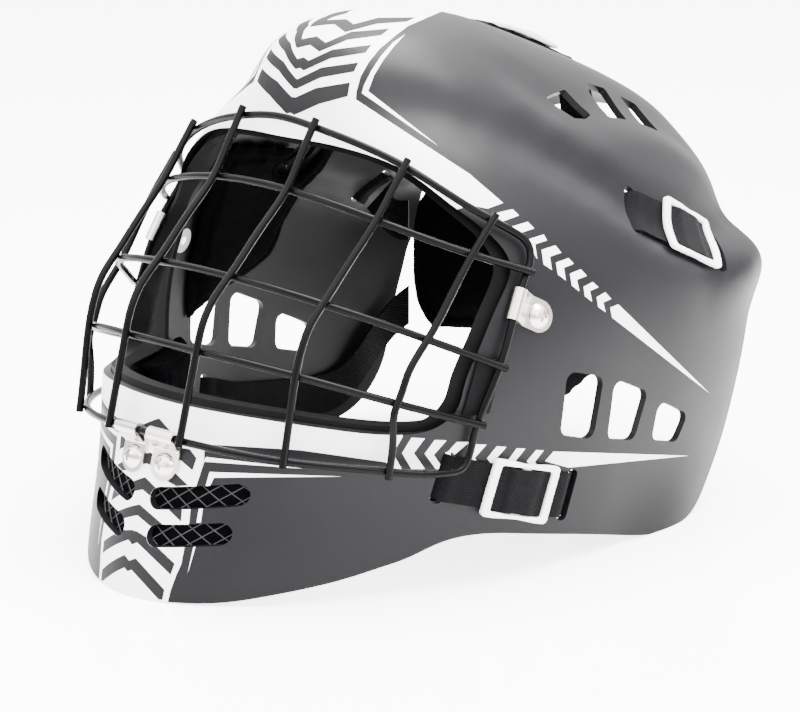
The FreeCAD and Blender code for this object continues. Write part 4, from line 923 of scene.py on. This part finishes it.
class ScreensOperator(bpy.types.Operator):
    """Diamond screens behind the chin slots"""
    bl_idname = "goalmask.screens"
    bl_label = "Chin screens"

    def execute(self, context):
        for side in ("left", "right"):
            # The chin_mesh plate is drawn as a near-black matte sheet, which is painted shade behind the wires.
            dressed("chin_mesh_" + side, screen_shade_sheet(), 40)
            self.lattice(side)
        return {"FINISHED"}

    def lattice(self, side):
        """Wires crossing in diamonds, laid on the front of the screen."""
        node = "chin_mesh_" + side
        low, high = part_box(node)
        shade_sheet_mesh = copy_of(node)
        tree = BVHTree.FromBMesh(shade_sheet_mesh)
        cell = settings().cell
        middle = (low + high) * 0.5
        bm = bmesh.new()
        bmesh.ops.create_grid(bm, x_segments=LATTICE_CELLS, y_segments=LATTICE_CELLS, size=cell * LATTICE_CELLS / 2)
        turn = Matrix.Rotation(math.radians(45), 4, "Z")
        bmesh.ops.transform(bm, matrix=Matrix.Diagonal((LATTICE_WIDE, LATTICE_HIGH, 1, 1)) @ turn, verts=bm.verts)
        bmesh.ops.rotate(bm, cent=(0, 0, 0), matrix=Matrix.Rotation(math.radians(90), 3, "X"), verts=bm.verts)
        bmesh.ops.translate(bm, vec=middle, verts=bm.verts)
        edge = LATTICE_MARGIN
        for normal, place in (((1, 0, 0), high.x - edge), ((-1, 0, 0), low.x + edge),
                              ((0, 0, 1), high.z - edge), ((0, 0, -1), low.z + edge)):
            point = (place if normal[0] else 0, 0, place if normal[2] else 0)
            bmesh.ops.bisect_plane(bm, geom=bm.verts[:] + bm.edges[:] + bm.faces[:], dist=1e-7, plane_co=point,
                                   plane_no=normal, clear_outer=True)
        lost = []
        for vert in bm.verts:
            hit = tree.ray_cast(Vector((vert.co.x, -0.4, vert.co.z)), Vector((0, 1, 0)))[0]
            if hit is None:
                lost.append(vert)
            else:
                vert.co = hit + Vector((0, -LATTICE_LIFT, 0))
        bmesh.ops.delete(bm, geom=lost, context="VERTS")
        shade_sheet_mesh.free()
        bm.normal_update()
        bmesh.ops.wireframe(bm, faces=bm.faces[:], thickness=settings().wire, use_replace=True, use_boundary=True,
                            use_even_offset=True)
        bmesh.ops.recalc_face_normals(bm, faces=bm.faces)
        soften(bm, 30)
        piece(bm, "chin_lattice_" + side, screen_wire(), "mask")


class PaddingOperator(bpy.types.Operator):
    """Cushions inside the shell"""
    bl_idname = "goalmask.padding"
    bl_label = "Padding"

    def execute(self, context):
        for node in INNER_PADS:
            cushion(node, lining())
        return {"FINISHED"}


class WebbingOperator(bpy.types.Operator):
    """Straps outside and inside the shell"""
    bl_idname = "goalmask.webbing"
    bl_label = "Webbing"

    def execute(self, context):
        for place in STRAPS:
            band("strap_" + place)
            band("loop_" + place)
            band("harness_" + place, HARNESS_BENDS[place.split("_")[0]])
        return {"FINISHED"}


class BucklesOperator(bpy.types.Operator):
    """Slide buckles"""
    bl_idname = "goalmask.buckles"
    bl_label = "Buckles"

    def execute(self, context):
        for place in STRAPS:
            moulded("buckle_" + place, buckle_plastic(), BUCKLE_VOXEL)
        return {"FINISHED"}


class BackOperator(bpy.types.Operator):
    """Back cushion on its plate"""
    bl_idname = "goalmask.back"
    bl_label = "Back cushion"

    def execute(self, context):
        cushion("back_pad", lining())
        moulded("back_plate", plate_plastic(), PLATE_VOXEL, 2)
        return {"FINISHED"}


class MaskPanel(bpy.types.Panel):
    """Lists the pieces of the mask"""
    bl_idname = "VIEW3D_PT_goalkeeper_mask"
    bl_label = "Goalkeeper mask"
    bl_space_type = "VIEW_3D"
    bl_region_type = "UI"
    bl_category = "Mask"

    def draw(self, context):
        for name in MaskSettings.__annotations__:
            self.layout.prop(context.scene.mask_settings, name)
        for operator in OPERATORS:
            self.layout.operator(operator.bl_idname)


OPERATORS = (StageOperator, ShellOperator, PrintsOperator, CageOperator, FastenersOperator, TrimOperator,
             ScreensOperator, PaddingOperator, WebbingOperator, BucklesOperator, BackOperator)
CLASSES = (MaskSettings,) + OPERATORS + (MaskPanel,)


def register():
    for entry in CLASSES:
        bpy.utils.register_class(entry)
    bpy.types.Scene.mask_settings = bpy.props.PointerProperty(type=MaskSettings)


def unregister():
    del bpy.types.Scene.mask_settings
    for entry in reversed(CLASSES):
        bpy.utils.unregister_class(entry)


def main():
    register()
    bpy.ops.goalmask.stage()
    bpy.ops.goalmask.shell()
    bpy.ops.goalmask.prints()
    bpy.ops.goalmask.cage()
    bpy.ops.goalmask.fasteners()
    bpy.ops.goalmask.trim()
    bpy.ops.goalmask.screens()
    bpy.ops.goalmask.padding()
    bpy.ops.goalmask.webbing()
    bpy.ops.goalmask.buckles()
    bpy.ops.goalmask.back()


if __name__ == "__main__":
    main()
